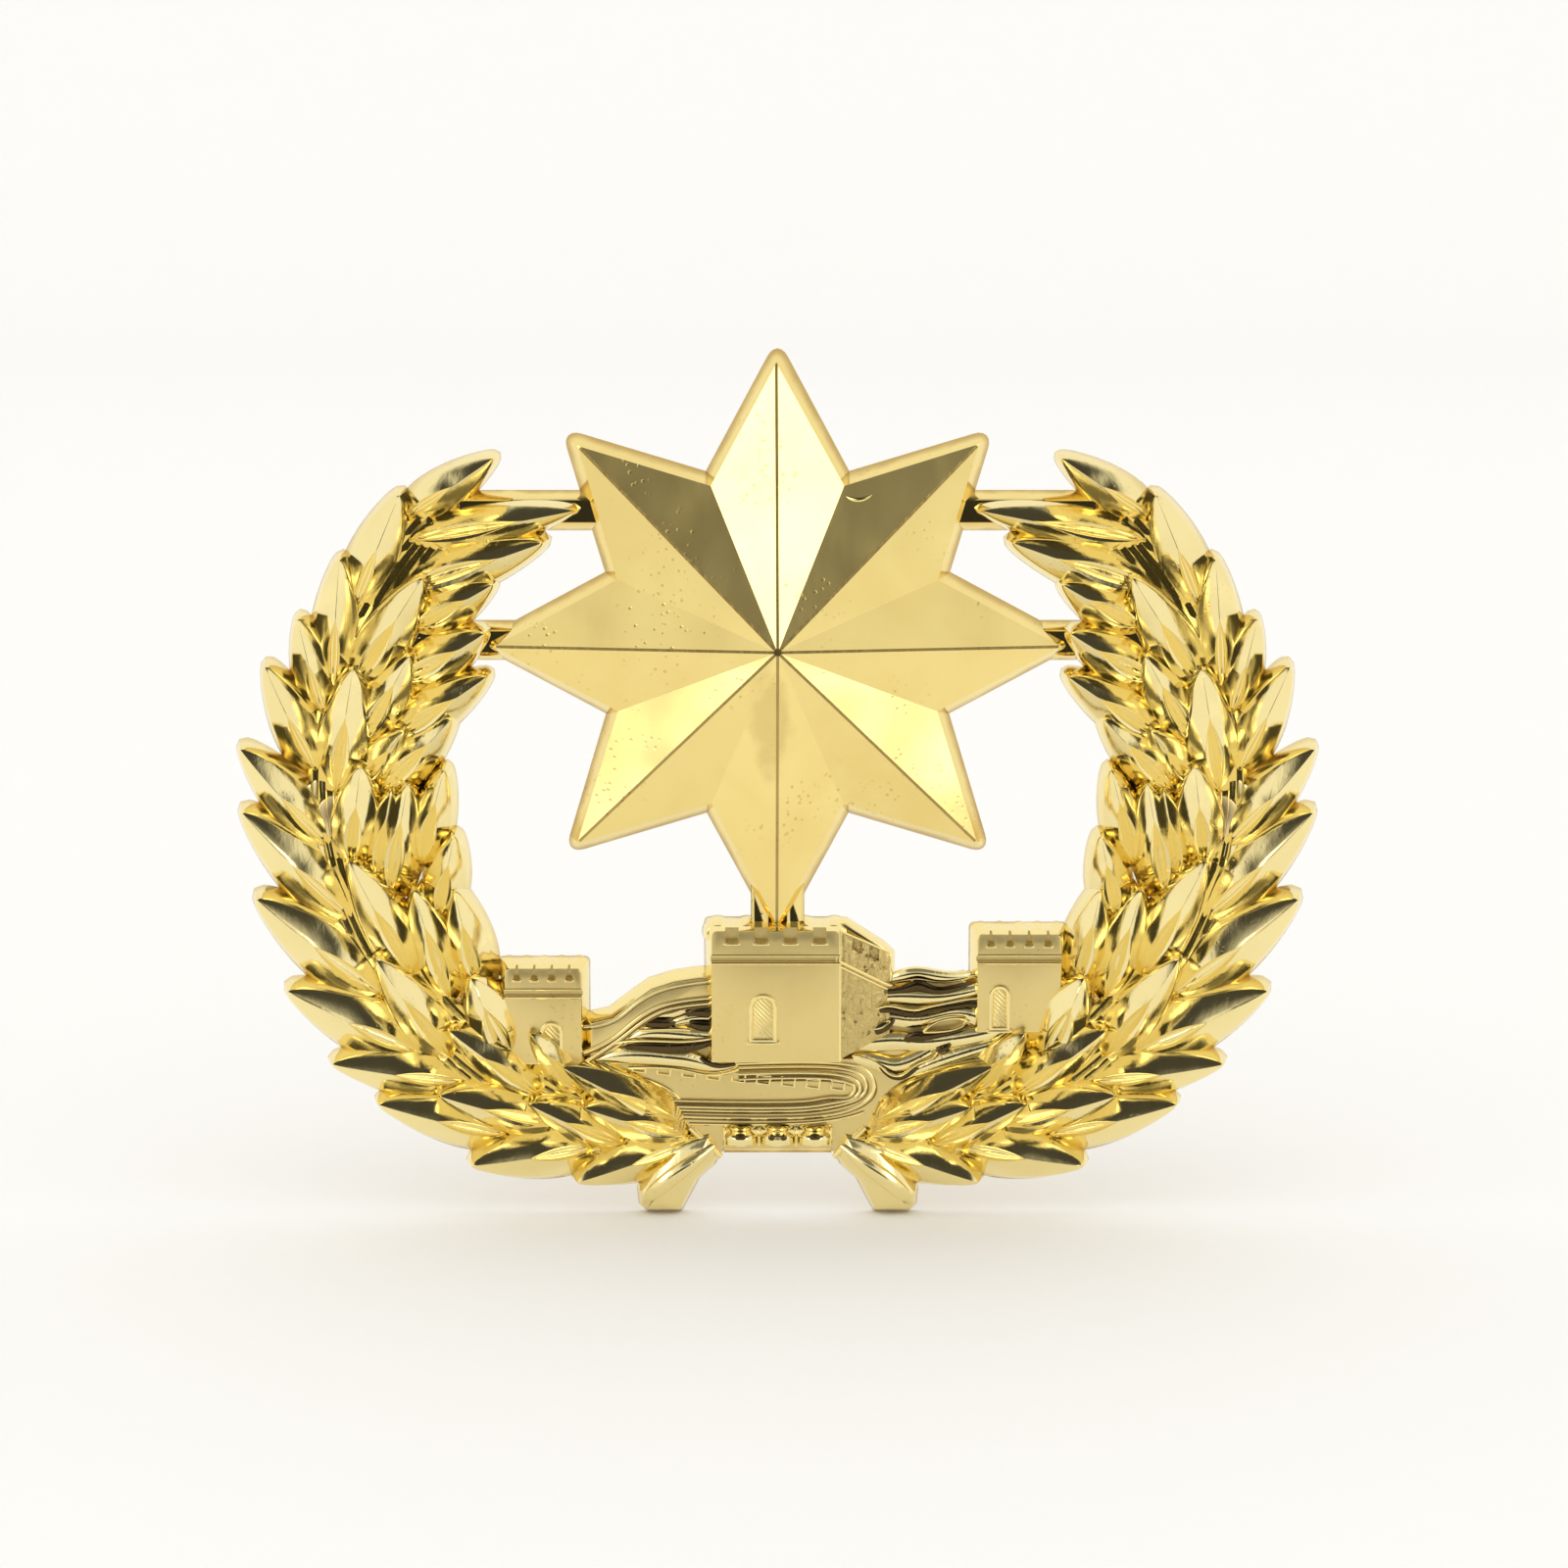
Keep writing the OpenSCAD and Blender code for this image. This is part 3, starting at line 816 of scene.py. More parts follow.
    def cut(self, *cutters: "Blank") -> "Blank":
        """Cuts other blanks out of this one and throws them away.

        Args:
            cutters: closed blanks that reach past the faces they cut.

        Returns:
            This blank.
        """
        for cutter in cutters:
            boolean = self.obj.modifiers.new("Cut", "BOOLEAN")
            boolean.operation = "DIFFERENCE"
            boolean.solver = "EXACT"
            boolean.object = cutter.obj
            self.apply(boolean)
            bpy.data.objects.remove(cutter.obj)
        return self

    def paint(self, finish: MetalFinish, test: FaceTest | None = None) -> "Blank":
        """Gives the piece a finish, or gives it to some of its faces.

        Args:
            finish: the finish.
            test: says by middle and normal which faces take it; all, if not given.

        Returns:
            This blank.
        """
        mesh = self.obj.data
        if test is None:
            mesh.materials.clear()
            mesh.materials.append(finish.material())
            return self
        mesh.materials.append(finish.material())
        for face in mesh.polygons:
            if test(face.center, face.normal):
                face.material_index = len(mesh.materials) - 1
        return self

    def copy(self, change: Matrix) -> "Blank":
        """Makes a copy with its own mesh, moved by a matrix.

        Args:
            change: the move.

        Returns:
            The copy.
        """
        twin = self.obj.copy()
        twin.data = self.obj.data.copy()
        twin.data.transform(change)
        bpy.context.collection.objects.link(twin)
        return Blank(twin, self.obj.name)

    def discard(self) -> None:
        """Throws the blank away."""
        bpy.data.objects.remove(self.obj)

    def smooth(self, angle: float = SMOOTH_ANGLE) -> "Blank":
        """Shades gentle curves smooth and keeps sharp edges.

        Args:
            angle: least angle of an edge that stays sharp, in degrees.

        Returns:
            This blank.
        """
        pick_alone(self.obj)
        bpy.ops.object.shade_smooth_by_angle(angle=math.radians(angle))
        return self


def bead(name: str, path: Sequence[Sequence[float]], radius: float, finish: MetalFinish,
    closed: bool = False, flat: float = 1.0) -> Blank:
    """Lays a rounded raised line along a path.

    Args:
        name: the line's name.
        path: corners as (x, y, height), or with a fourth number that scales the radius there.
        radius: the line's radius.
        finish: its finish.
        closed: whether the line closes on itself.
        flat: height of the line as a share of its width.

    Returns:
        The line as a blank.
    """
    curve = bpy.data.curves.new(name, "CURVE")
    curve.dimensions = "3D"
    curve.bevel_depth = radius
    curve.bevel_resolution = 3
    curve.resolution_u = 8
    curve.use_fill_caps = not closed
    spline = curve.splines.new("NURBS")
    spline.points.add(len(path) - 1)
    middle = sum(corner[2] for corner in path) / len(path)
    for point, corner in zip(spline.points, path):
        point.co = (corner[0], corner[1], (corner[2] - middle) / flat, 1.0)
        point.radius = corner[3] if len(corner) > 3 else 1.0
    spline.order_u = min(4, len(path))
    spline.use_endpoint_u = not closed
    spline.use_cyclic_u = closed
    obj = bpy.data.objects.new(name, curve)
    bpy.context.collection.objects.link(obj)
    pick_alone(obj)
    bpy.ops.object.convert(target="MESH")
    line = Blank(bpy.context.active_object, name)
    line.obj.data.transform(Matrix.Translation((0, 0, middle)) @ Matrix.Diagonal((1.0, 1.0, flat, 1.0)))
    return line.paint(finish)


FLOORS = itertools.cycle(0.0025 * step for step in range(1, 61))


def raise_floor(part: Blank) -> None:
    """Lifts a part's underside a hair, so that no two undersides share one plane.

    Args:
        part: the part.
    """
    level = next(FLOORS)
    for vertex in part.obj.data.vertices:
        if abs(vertex.co.z) < 0.0001:
            vertex.co.z = level


def weld(name: str, parts: Sequence[Blank]) -> Blank:
    """Joins blanks into one piece and turns its faces outwards.

    Args:
        name: the piece's name.
        parts: the blanks.

    Returns:
        The piece.
    """
    clear_bench()
    for part in parts:
        raise_floor(part)
        part.obj.select_set(True)
    bpy.context.view_layer.objects.active = parts[0].obj
    if len(parts) > 1:
        bpy.ops.object.join()
    piece = Blank(parts[0].obj, name)
    with piece.open():
        merge_and_turn(0.002)
    return piece


def node_box(node: str) -> Box:
    """Gives a CAD node's box as it lies on the bench, in millimetres."""
    low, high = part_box(node)
    return Vector((low.x, low.z, -high.y)) / MM, Vector((high.x, high.z, -low.y)) / MM


def install(piece: Blank, node: str, slot: Slot, body: Body = Body.BADGE,
    angle: float = SMOOTH_ANGLE) -> Piece:
    """Stands a finished piece up in the frame in place of its CAD node.

    Args:
        piece: the finished blank.
        node: the CAD node it replaces.
        slot: the record's material slot; not used.
        body: the body it rides on.
        angle: least angle of an edge that stays sharp, in degrees.

    Returns:
        The object in place.
    """
    raise_floor(piece)
    piece.smooth(angle)
    obj = piece.obj
    obj.data.transform(STAND_UP)
    obj.data.update()
    obj.matrix_world = Matrix.Identity(4)
    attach(obj, body.value)
    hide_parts(node)
    return obj


def assemble(node: str, parts: Sequence[Blank], slot: Slot = Slot.RELIEF,
    angle: float = SMOOTH_ANGLE) -> Piece:
    """Welds the parts of one CAD node and installs them on the badge."""
    return install(weld(node.capitalize(), parts), node, slot, angle=angle)


# ---- the star


@dataclass(frozen=True)
class FacetedStar:
    """The eight-pointed star with its ridges and drafted side wall."""

    points: int = 8
    tip_radius: float = 15.7
    notch_radius: float = 9.6
    edge: float = 1.4
    flare: float = 0.6
    rim: float = 0.15
    tip_rounding: float = 1.2
    ridge: float = 0.085
    sharp_angle: float = 9.0
    nick: tuple[Bend, ...] = ((3.8, 8.3, 1.58, 0.3), (4.2, 8.05, 1.74, 1.0), (4.7, 8.05, 1.8, 1.0),
        (5.2, 8.4, 1.7, 0.3))

    def build(self) -> list[Piece]:
        """Builds the star.

        Returns:
            The star, in place.
        """
        low, high = node_box("star")
        centre = Vector(((low.x + high.x) / 2, (low.y + high.y) / 2, 0.0))
        half_angle = math.atan2(
            self.notch_radius * math.sin(math.pi / self.points),
            self.tip_radius - self.notch_radius * math.cos(math.pi / self.points))
        foot_tip = self.tip_radius + self.flare / math.sin(half_angle)
        foot_notch = self.notch_radius + self.flare / math.sin(half_angle + math.pi / self.points)
        corners = []
        for k in range(2 * self.points):
            angle = math.pi / 2 + k * math.pi / self.points
            reach = foot_notch if k % 2 else foot_tip
            corners.append((centre.x + reach * math.cos(angle), centre.y + reach * math.sin(angle)))
        star = Blank.outline("Star", corners)
        with star.open():
            star.pick_corners(lambda co: (co - centre).length > self.tip_radius)
            bpy.ops.mesh.bevel(offset=self.tip_rounding, segments=6, affect="VERTICES")
        star.draft(self.rim, self.flare, self.edge)
        with star.open():
            star.pick_corners(lambda co: co.z > self.edge - 0.01
                and (co - centre).xy.length > 0.9 * self.tip_radius)
            bpy.ops.mesh.remove_doubles(threshold=0.3)
            star.face_up(self.edge)
            bpy.ops.mesh.poke()
            star.pick_corners(lambda co: co.z > self.edge - 0.01 and (co - centre).xy.length < 0.5)
            bpy.ops.transform.translate(value=(0, 0, high.z - self.edge))
            star.pick_edges(lambda a, b: self._is_ridge(a - centre, b - centre))
            bpy.ops.mesh.bevel(offset=self.ridge, segments=1, affect="EDGES")
        star.paint(POLISHED_STAR)
        # The ridge bevels take the dark finish, as a painted reflection along each ridge.
        star.paint(RIDGE_DARK_REFLECTION, lambda middle, normal: normal.z > 0.965)
        nick = bead("Nick", [(centre.x + x, centre.y + y, height, share) for x, y, height,
            share in self.nick], 0.16, POLISHED_STAR, flat=0.6)
        return [assemble("star", [star, nick], Slot.STAR, self.sharp_angle)]

    def _is_ridge(self, a: Vector, b: Vector) -> bool:
        """Says whether an edge runs from the apex to a tip."""
        near, far = sorted((a, b), key=lambda end: end.xy.length)
        return near.xy.length < 0.5 and near.z > self.edge and far.xy.length > 0.9 * self.tip_radius


# ---- cross bars and stays


@dataclass(frozen=True)
class CrossBars:
    """The two cross bars with sloping sides and the two stays under the star."""

    flat_share: float = 0.52
    edge: float = 0.06

    def build(self) -> list[Piece]:
        """Builds the bars and stays."""
        return [self._bar("upper_cross_bar"), self._bar("middle_cross_bar"),
            self._stay("left_star_stay"), self._stay("right_star_stay")]

    def _bar(self, node: str) -> Piece:
        """Builds one cross bar.

        Args:
            node: the CAD node it replaces.

        Returns:
            The bar, in place.
        """
        low, high = node_box(node)
        middle = (low.y + high.y) / 2
        bar = Blank.block(node, low, high)
        with bar.open():
            bar.pick_faces(looks_up)
            bpy.ops.transform.resize(value=(1.0, self.flat_share, 1.0), center_override=(0, middle, high.z))
            bar.pick_faces(looks_up)
            bpy.ops.mesh.inset(thickness=0.12, depth=0.0)
            bpy.ops.transform.translate(value=(0, 0, -0.03))
        bar.soften(self.edge)
        bar.paint(BAR_GOLD)
        return assemble(node, [bar])

    def _stay(self, node: str) -> Piece:
        """Builds one stay, with a shallow channel down its front.

        Args:
            node: the CAD node it replaces.

        Returns:
            The stay, in place.
        """
        low, high = node_box(node)
        stay = Blank.block(node, low, high)
        with stay.open():
            stay.pick_faces(looks_up)
            bpy.ops.mesh.inset(thickness=0.18, depth=-0.1)
        stay.soften(0.05)
        stay.paint(BAR_GOLD)
        return assemble(node, [stay])


# ---- the wreath


@dataclass(frozen=True)
class WreathLine:
    """The ellipse that the stems follow, with angles up from the foot."""

    half_width: float = 24.6
    half_height: float = 21.7
    middle: float = 1.9

    def heading(self, angle: float) -> float:
        """Gives the stem's direction."""
        turn = math.radians(angle)
        return math.atan2(self.half_height * math.cos(turn), -self.half_width * math.sin(turn))

    def point(self, angle: float, offset: float = 0.0) -> Point:
        """Gives a point beside the stem's middle line.

        Args:
            angle: place on the ellipse, in degrees.
            offset: distance outwards.

        Returns:
            The point on the bench.
        """
        turn = math.radians(angle)
        heading = self.heading(angle)
        return (self.half_width * math.cos(turn) + offset * math.sin(heading),
            self.middle + self.half_height * math.sin(turn) - offset * math.cos(heading))


@dataclass(frozen=True)
class LeafForm:
    """The shape that the leaves of a row share.

    Attributes:
        name: the row's word.
        split: where the crease parts round the hollow, as a share of the length.
        hollow: half width of the hollow, as a share of the leaf's.
        depth: depth of the hollow.
        veins: number of veins in the hollow.
        lift: how far the row rides above the back.
        slope: rise of the lobes towards the crease.
        flare: how far the side walls lean out.
        crest: least gap of the crease, as a share of the half width.
        bulge: how far the lobes bulge; 0 leaves them flat.
    """

    name: str
    split: float
    hollow: float
    depth: float
    veins: int
    lift: float
    length: float = 7.0
    width: float = 2.4
    base_edge: float = 0.35
    tip_edge: float = 1.95
    slope: float = 0.84
    flare: float = 0.42
    rim: float = 0.2
    bulge: float = 0.2
    rows: int = 30
    lobe_columns: int = 6
    crest: float = 0.015

    def half_width(self, t: float) -> float:
        """Gives the leaf's half width."""
        t = min(max(t, 0.0), 1.0)
        return self.width / 2 * math.sin(math.pi * t ** 0.72) ** 0.7 if 0.0 < t < 1.0 else 0.0

    def shoulder(self, t: float) -> float:
        """Gives the height of the leaf's edge."""
        return self.base_edge + (self.tip_edge - self.base_edge) * t

    def ridge(self, t: float) -> float:
        """Gives the crease's height."""
        return self.shoulder(t) + self.slope * self.half_width(t)

    def place(self, row: int, column: int) -> Corner:
        """Gives a grid corner's place on the leaf.

        Args:
            row: row from the base.
            column: column from one edge to the other.

        Returns:
            The corner's place.
        """
        t = 0.5 - 0.5 * math.cos(math.pi * row / self.rows)
        inner = 4 * self.veins
        rise = math.sin(math.pi * min(t / self.split, 1.0)) if t < self.split else 0.0
        gap = max(self.crest, self.hollow * rise ** 0.8)
        step = column - self.lobe_columns - inner / 2
        half = inner / 2
        shoulder = self.shoulder(t)
        crest = self.ridge(t)
        if abs(step) <= half:
            across = gap * step / half
            bowl = 1 - (step / half) ** 2
            ripple = 0.08 * math.cos(math.pi * step * 2 / 4) * bowl
            height = crest - rise ** 0.7 * (self.depth * bowl - ripple)
        else:
            share = (self.lobe_columns + half - abs(step)) / self.lobe_columns
            across = math.copysign(1 - share * (1 - gap), step)
            height = shoulder + (crest - shoulder) * (share + self.bulge * share * (1 - share))
        return t * self.length, across * self.half_width(t), height

    def outwards(self, co: Vector) -> Point:
        """Gives the direction away from the leaf at its edge.

        Args:
            co: a point on the edge.

        Returns:
            A unit direction.
        """
        t = co.x / self.length
        if t < 0.002:
            return -1.0, 0.0
        if t > 0.998:
            return 1.0, 0.0
        slope = (self.half_width(t + 0.002) - self.half_width(t - 0.002)) / (0.004 * self.length)
        size = math.hypot(slope, 1.0)
        return -slope / size, math.copysign(1.0 / size, co.y)

    def master(self) -> Blank:
        """Models the leaf once.

        Returns:
            The leaf, pointing along the bench's x.
        """
        leaf = Blank.grid(f"{self.name} leaf", self.rows, 4 * self.veins + 2 * self.lobe_columns,
            self.place)
        with leaf.open():
            bpy.ops.mesh.select_all(action="SELECT")
            bpy.ops.mesh.remove_doubles(threshold=DOUBLES)
            for reach, height in ((0.06, None), (self.flare - 0.06, self.rim), (0.0, 0.0)):
                leaf.pick_rim()
                directions = {}
                mesh = bmesh.from_edit_mesh(leaf.obj.data)
                for vertex in mesh.verts:
                    if vertex.select:
                        directions[vertex.co.to_tuple(5)] = self.outwards(vertex.co)
                bpy.ops.mesh.extrude_region_move()
                leaf.move_picked(lambda co: self._step_out(co, directions, reach, height))
            leaf.cap()
            bpy.ops.mesh.select_all(action="SELECT")
            bpy.ops.mesh.normals_make_consistent(inside=False)
        return leaf.paint(BRIGHT_WREATH)

    @staticmethod
    def _step_out(co: Vector, directions: dict, reach: float, height: float | None) -> Corner:
        """Moves a corner of the side wall outwards and down."""
        away = directions.get(co.to_tuple(5), (0.0, 0.0))
        return co.x + reach * away[0], co.y + reach * away[1], co.z - 0.07 if height is None else height


@dataclass(frozen=True)
class LeafRow:
    """One row of leaves on both branches.

    Attributes:
        form: the leaves' shape.
        leaves: for each leaf its angle on the wreath, the offset of its base outwards,
            its turn outwards from the stem, its length and its width.
    """

    form: LeafForm
    leaves: tuple[tuple[float, float, float, float, float], ...]

    def build(self, line: WreathLine) -> list[Piece]:
        """Builds the row on both branches.

        Args:
            line: the line that the stems follow.

        Returns:
            The two rows, in place.
        """
        master = self.form.master()
        rows = [self._branch(master, line, side) for side in Side]
        master.discard()
        return rows

    def _branch(self, master: Blank, line: WreathLine, side: Side) -> Piece:
        """Builds the row on one branch.

        Args:
            master: the leaf to copy.
            line: the line that the stems follow.
            side: the branch.

        Returns:
            The row, in place.
        """
        mirror = Matrix.Diagonal((float(side.value), 1.0, 1.0, 1.0))
        copies = []
        for count, (angle, offset, turn, length, width) in enumerate(self.leaves):
            x, y = line.point(angle, offset)
            place = Matrix.Translation((x, y, self.form.lift + 0.005 * count))
            spin = Matrix.Rotation(line.heading(angle) - math.radians(turn), 4, "Z")
            size = Matrix.Diagonal((length / self.form.length, width / self.form.width, 1.0, 1.0))
            copies.append(master.copy(mirror @ place @ spin @ size))
        return assemble(f"{side.word}_{self.form.name}_leaves", copies, Slot.WREATH)


@dataclass(frozen=True)
class Stem:
    """The stem of a branch: a veined bed under the leaves, and its forked foot."""

    first: float = -79.0
    last: float = 41.0
    width: float = 3.2
    bed: float = 1.15
    vein: float = 0.1
    steps: int = 96
    strands: int = 16
    foot_height: float = 1.3
    ridge_radius: float = 0.8
    boss_radius: float = 2.42
    foot: tuple[Point, ...] = ((3.2, -19.4), (3.7, -17.9), (6.2, -18.6), (8.0, -21.4), (7.9, -22.4),
        (7.5, -22.8), (5.4, -22.8), (4.4, -20.9), (3.5, -20.1))
    ridge: tuple[Bend, ...] = ((3.6, -18.8, 1.4, 0.2), (4.6, -19.5, 1.75, 0.5), (5.6, -20.2, 1.9, 0.62),
        (6.6, -21.0, 1.85, 0.62), (7.2, -21.6, 1.6, 0.5), (7.6, -22.2, 1.0, 0.25))

    def build(self, line: WreathLine) -> list[Piece]:
        """Builds both stems."""
        return [self._branch(line, side) for side in Side]

    def _branch(self, line: WreathLine, side: Side) -> Piece:
        """Builds one stem.

        Args:
            line: the line that the stems follow.
            side: the branch.

        Returns:
            The stem, in place.
        """
        def place(step: int, strand: int) -> Corner:
            """Gives a corner of the veined bed."""
            angle = self.first + (self.last - self.first) * step / self.steps
            across = 2 * strand / self.strands - 1
            x, y = line.point(angle, across * self.width / 2)
            height = self.bed + (self.vein if strand % 2 else -self.vein) - 0.25 * across * across
            return x * side.value, y, height

        bed = Blank.grid("Stem bed", self.steps, self.strands, place)
        with bed.open():
            bed.pick_rim()
            bpy.ops.mesh.extrude_region_move()
            bed.move_picked(lambda co: (co.x, co.y, 0.0))
            bed.cap()
        bed.paint(BRIGHT_WREATH)
        corners = [(x * side.value, y) for x, y in self.foot]
        foot = Blank.outline("Stem foot", corners).draft(0.25, 0.3, self.foot_height)
        with foot.open():
            foot.face_up(self.foot_height)
            bpy.ops.mesh.inset(thickness=0.5, depth=0.3, use_even_offset=True)
        foot.soften(0.07)
        foot.paint(BRIGHT_WREATH)
        path = [(x * side.value, y, height, share) for x, y, height, share in self.ridge]
        ridge = bead("Foot ridge", path, self.ridge_radius, BRIGHT_WREATH, flat=0.7)
        boss_x, boss_y = line.point(STUD_ANGLE)
        boss = Blank.round("Stud boss", self.boss_radius, 0.0, 1.0, (boss_x * side.value, boss_y))
        boss.soften(0.1)
        boss.paint(BRIGHT_WREATH)
        return assemble(f"{side.word}_stem", [bed, foot, ridge, boss], Slot.WREATH)


OUTER_ROW = LeafRow(LeafForm("outer", split=0.55, hollow=0.3, depth=0.36, veins=2, lift=0.0), (
    (38, 2.0, -15, 6.3, 2.0), (24, 1.3, 4, 7.3, 2.5), (13, 0.8, 10, 7.5, 2.4), (9, 0.9, 23, 5.9, 2.1),
    (1, 1.0, 25, 6.8, 2.3), (-10, 0.6, 29, 7.7, 2.5), (-21, 0.7, 20, 8.9, 2.8), (-32, 1.4, 15, 9.1, 3.0),
    (-41, 1.9, 18, 8.4, 2.9), (-48, 1.3, 29, 7.8, 2.5), (-56, 2.6, 15, 7.6, 2.4),
    (-67, 0.8, 28, 7.4, 2.6), (-79, -0.9, 28, 7.1, 2.4)))
MIDDLE_ROW = LeafRow(LeafForm("middle", split=0.62, hollow=0.4, depth=0.32, veins=3, lift=0.45), (
    (14, -0.2, -17, 7.6, 2.5), (-2, 0.1, -12, 7.4, 2.6), (-13, -0.1, -22, 6.0, 2.5),
    (-32, -0.7, -8, 7.7, 2.4), (-44, 0.9, -13, 7.2, 2.4), (-57, -0.4, -8, 6.5, 2.2),
    (-61, 0.6, 10, 7.0, 2.3), (-70, 0.3, -8, 6.0, 2.1), (-78, -1.1, -7, 6.2, 2.3),
    (-77, -1.7, -16, 7.7, 2.2)))
INNER_ROW = LeafRow(LeafForm("inner", split=0.68, hollow=0.46, depth=0.3, veins=3, lift=0.15), (
    (36, 1.2, -40, 9.7, 2.1), (30, -0.2, -38, 8.6, 2.5), (26, -1.9, -32, 5.4, 2.2),
    (17, -2.5, -40, 5.8, 2.4), (7, -2.7, -48, 6.8, 2.3), (6, -1.3, -22, 5.9, 2.3),
    (-2, -2.3, -46, 6.1, 2.3), (-1, -1.2, -39, 4.4, 1.9), (-19, -1.6, -32, 6.7, 2.4),
    (-16, -1.2, -29, 5.5, 1.8), (-16, -3.8, -33, 5.9, 2.1), (-26, -3.5, -41, 5.1, 2.1),
    (-38, -1.4, -25, 6.8, 2.3), (-40, -3.0, -31, 6.1, 2.2), (-51, -1.0, -31, 5.6, 2.7),
    (-62, -1.5, -27, 4.8, 2.0)))


@dataclass(frozen=True)
class Wreath:
    """Both branches: stems and three rows of leaves on each."""

    line: WreathLine = WreathLine()
    stem: Stem = Stem()
    rows: tuple[LeafRow, ...] = (OUTER_ROW, MIDDLE_ROW, INNER_ROW)

    def build(self) -> list[Piece]:
        """Builds the wreath.

        Returns:
            Its pieces, in place.
        """
        pieces = self.stem.build(self.line)
        for row in self.rows:
            pieces += row.build(self.line)
        return pieces


# ---- towers


class CrenelStyle(Enum):
    """How the gaps in a battlement are cut."""

    SQUARE = "square"
    POINTED = "pointed"


@dataclass(frozen=True)
class Tower:
    """A tower front with battlements, string course and arched door.

    Attributes:
        node: the CAD node it replaces.
        x: left edge of the front.
        width: width of the front.
        top: top of the front.
        height: height of the front.
        thickness: height of the front above the back.
        crenels: how the gaps are cut.
        crenel_width: width of a gap.
        door: middle and foot of the door, its width and its height.
    """

    node: str
    x: float
    width: float
    top: float
    height: float
    thickness: float
    crenels: CrenelStyle
    crenel_width: float
    crenel_height: float
    groove: float
    door: tuple[float, float, float, float]
    count: int = 4
    flare: float = 0.45

    def front(self) -> Blank:
        """Models the front with its cuts.

        Returns:
            The front.
        """
        base = self.top - self.height
        block = Blank.block("Front", (self.x - self.flare, base, 0.0),
            (self.x + self.width + self.flare, self.top + self.flare, self.thickness))
        with block.open():
            block.pick_faces(looks_up)
            block.move_picked(lambda co: (
                self.x if co.x < self.x + self.width / 2 else self.x + self.width,
                base if co.y < base + 0.1 else self.top, self.thickness))
            block.pick_edges(lambda a, b: abs(a.z - b.z) > 0.5 and a.y > base + 1.0 and b.y > base + 1.0)
            bpy.ops.mesh.bevel(offset=0.3, segments=4, affect="EDGES")
        block.soften(0.05)
        block.paint(SATIN_RELIEF)
        block.paint(EDGE_GOLD, leans)
        # The groove and gap cutters are painted dark, as shade inside the cuts.
        groove = Blank.block("Groove", (self.x - 1, self.groove - 0.14, self.thickness - 0.22),
            (self.x + self.width + 1, self.groove + 0.14, self.thickness + 1))
        block.cut(groove.paint(DARK_PAINTED_SHADE), *[self._gap(place) for place in self._places()])
        return block

    def _places(self) -> list[float]:
        """Gives the middles of the gaps."""
        pitch = self.width / (self.count + 0.4)
        return [self.x + pitch * (i + 0.7) for i in range(self.count)]

    def _gap(self, place: float) -> Blank:
        """Models the cutter of one gap.

        Args:
            place: the gap's middle.

        Returns:
            The cutter.
        """
        half = self.crenel_width / 2
        foot = self.top - self.crenel_height
        deep = self.thickness - 0.55
        if self.crenels is CrenelStyle.SQUARE:
            return Blank.block("Gap", (place - half, foot, deep),
                (place + half, self.top + 1, self.thickness + 1)).paint(DARK_PAINTED_SHADE)
        gap = Blank.block("Gap", (place - half, foot, deep),
            (place + half, foot + 0.75, self.thickness + 1))
        with gap.open():
            gap.pick_faces(lambda centre, normal: normal.y > 0.9)
            bpy.ops.transform.resize(value=(0.25, 1.0, 1.0), center_override=(place, foot, 0))
        return gap.paint(DARK_PAINTED_SHADE)

    def dressings(self) -> list[Blank]:
        """Models the sills, the string course, the scalloped rim and the door.

        Returns:
            The small pieces.
        """
        right = self.x + self.width
        top = self.thickness
        parts = []
        for place in self._places():
            foot = self.top - self.crenel_height
            sill = Blank.block("Sill", (place - self.crenel_width * 0.62, foot - 0.16, top - 0.35),
                (place + self.crenel_width * 0.62, foot - 0.02, top + 0.1))
            parts.append(sill.soften(0.04).paint(EDGE_GOLD))
        for z, radius in ((self.groove + 0.2, 0.07), (self.groove - 0.25, 0.09)):
            parts.append(bead("String course",
                ((self.x, z, top), ((self.x + right) / 2, z, top), (right, z, top)), radius, EDGE_GOLD))
        pitch = self.width / (self.count + 0.4)
        for i in range(self.count + 1):
            middle = self.x + pitch * (i + 0.2)
            scallop = Blank.round("Scallop", pitch * 0.56, 0.0, top - 0.75,
                (middle, self.top + self.flare - pitch * 0.5), 24)
            with scallop.open():
                scallop.pick_faces(looks_up)
                bpy.ops.transform.resize(value=(0.7, 0.6, 1.0),
                    center_override=(middle, self.top - 0.3, top))
            parts.append(scallop.soften(0.08).paint(EDGE_GOLD))
        parts.append(self._door())
        return parts

    def _door(self) -> Blank:
        """Models the arched door frame round its hatched panel.

        Returns:
            The door.
        """
        middle, foot, width, height = self.door
        top = self.thickness
        door = Blank.block("Door", (middle - width / 2, foot, top - 0.2),
            (middle + width / 2, foot + height, top + 0.14))
        with door.open():
            door.pick_edges(lambda a, b: abs(a.z - b.z) > 0.2 and a.y > foot + 0.5)
            bpy.ops.mesh.bevel(offset=width * 0.49, segments=8, affect="EDGES")
            door.pick_faces(looks_up)
            bpy.ops.mesh.inset(thickness=0.05, depth=0.0)
            bpy.ops.mesh.inset(thickness=0.14, depth=-0.0)
            bpy.ops.mesh.inset(thickness=0.04, depth=-0.13)
        door.soften(0.03)
        door.paint(EDGE_GOLD)
        door.paint(HATCHED_RELIEF, lambda centre, normal: normal.z > 0.9 and centre.z < top + 0.05)
        sill = Blank.block("Doorstep", (middle - width * 0.6, foot - 0.1, top - 0.2),
            (middle + width * 0.6, foot + 0.06, top + 0.2))
        return weld("Door", [door, sill.soften(0.04).paint(EDGE_GOLD)])

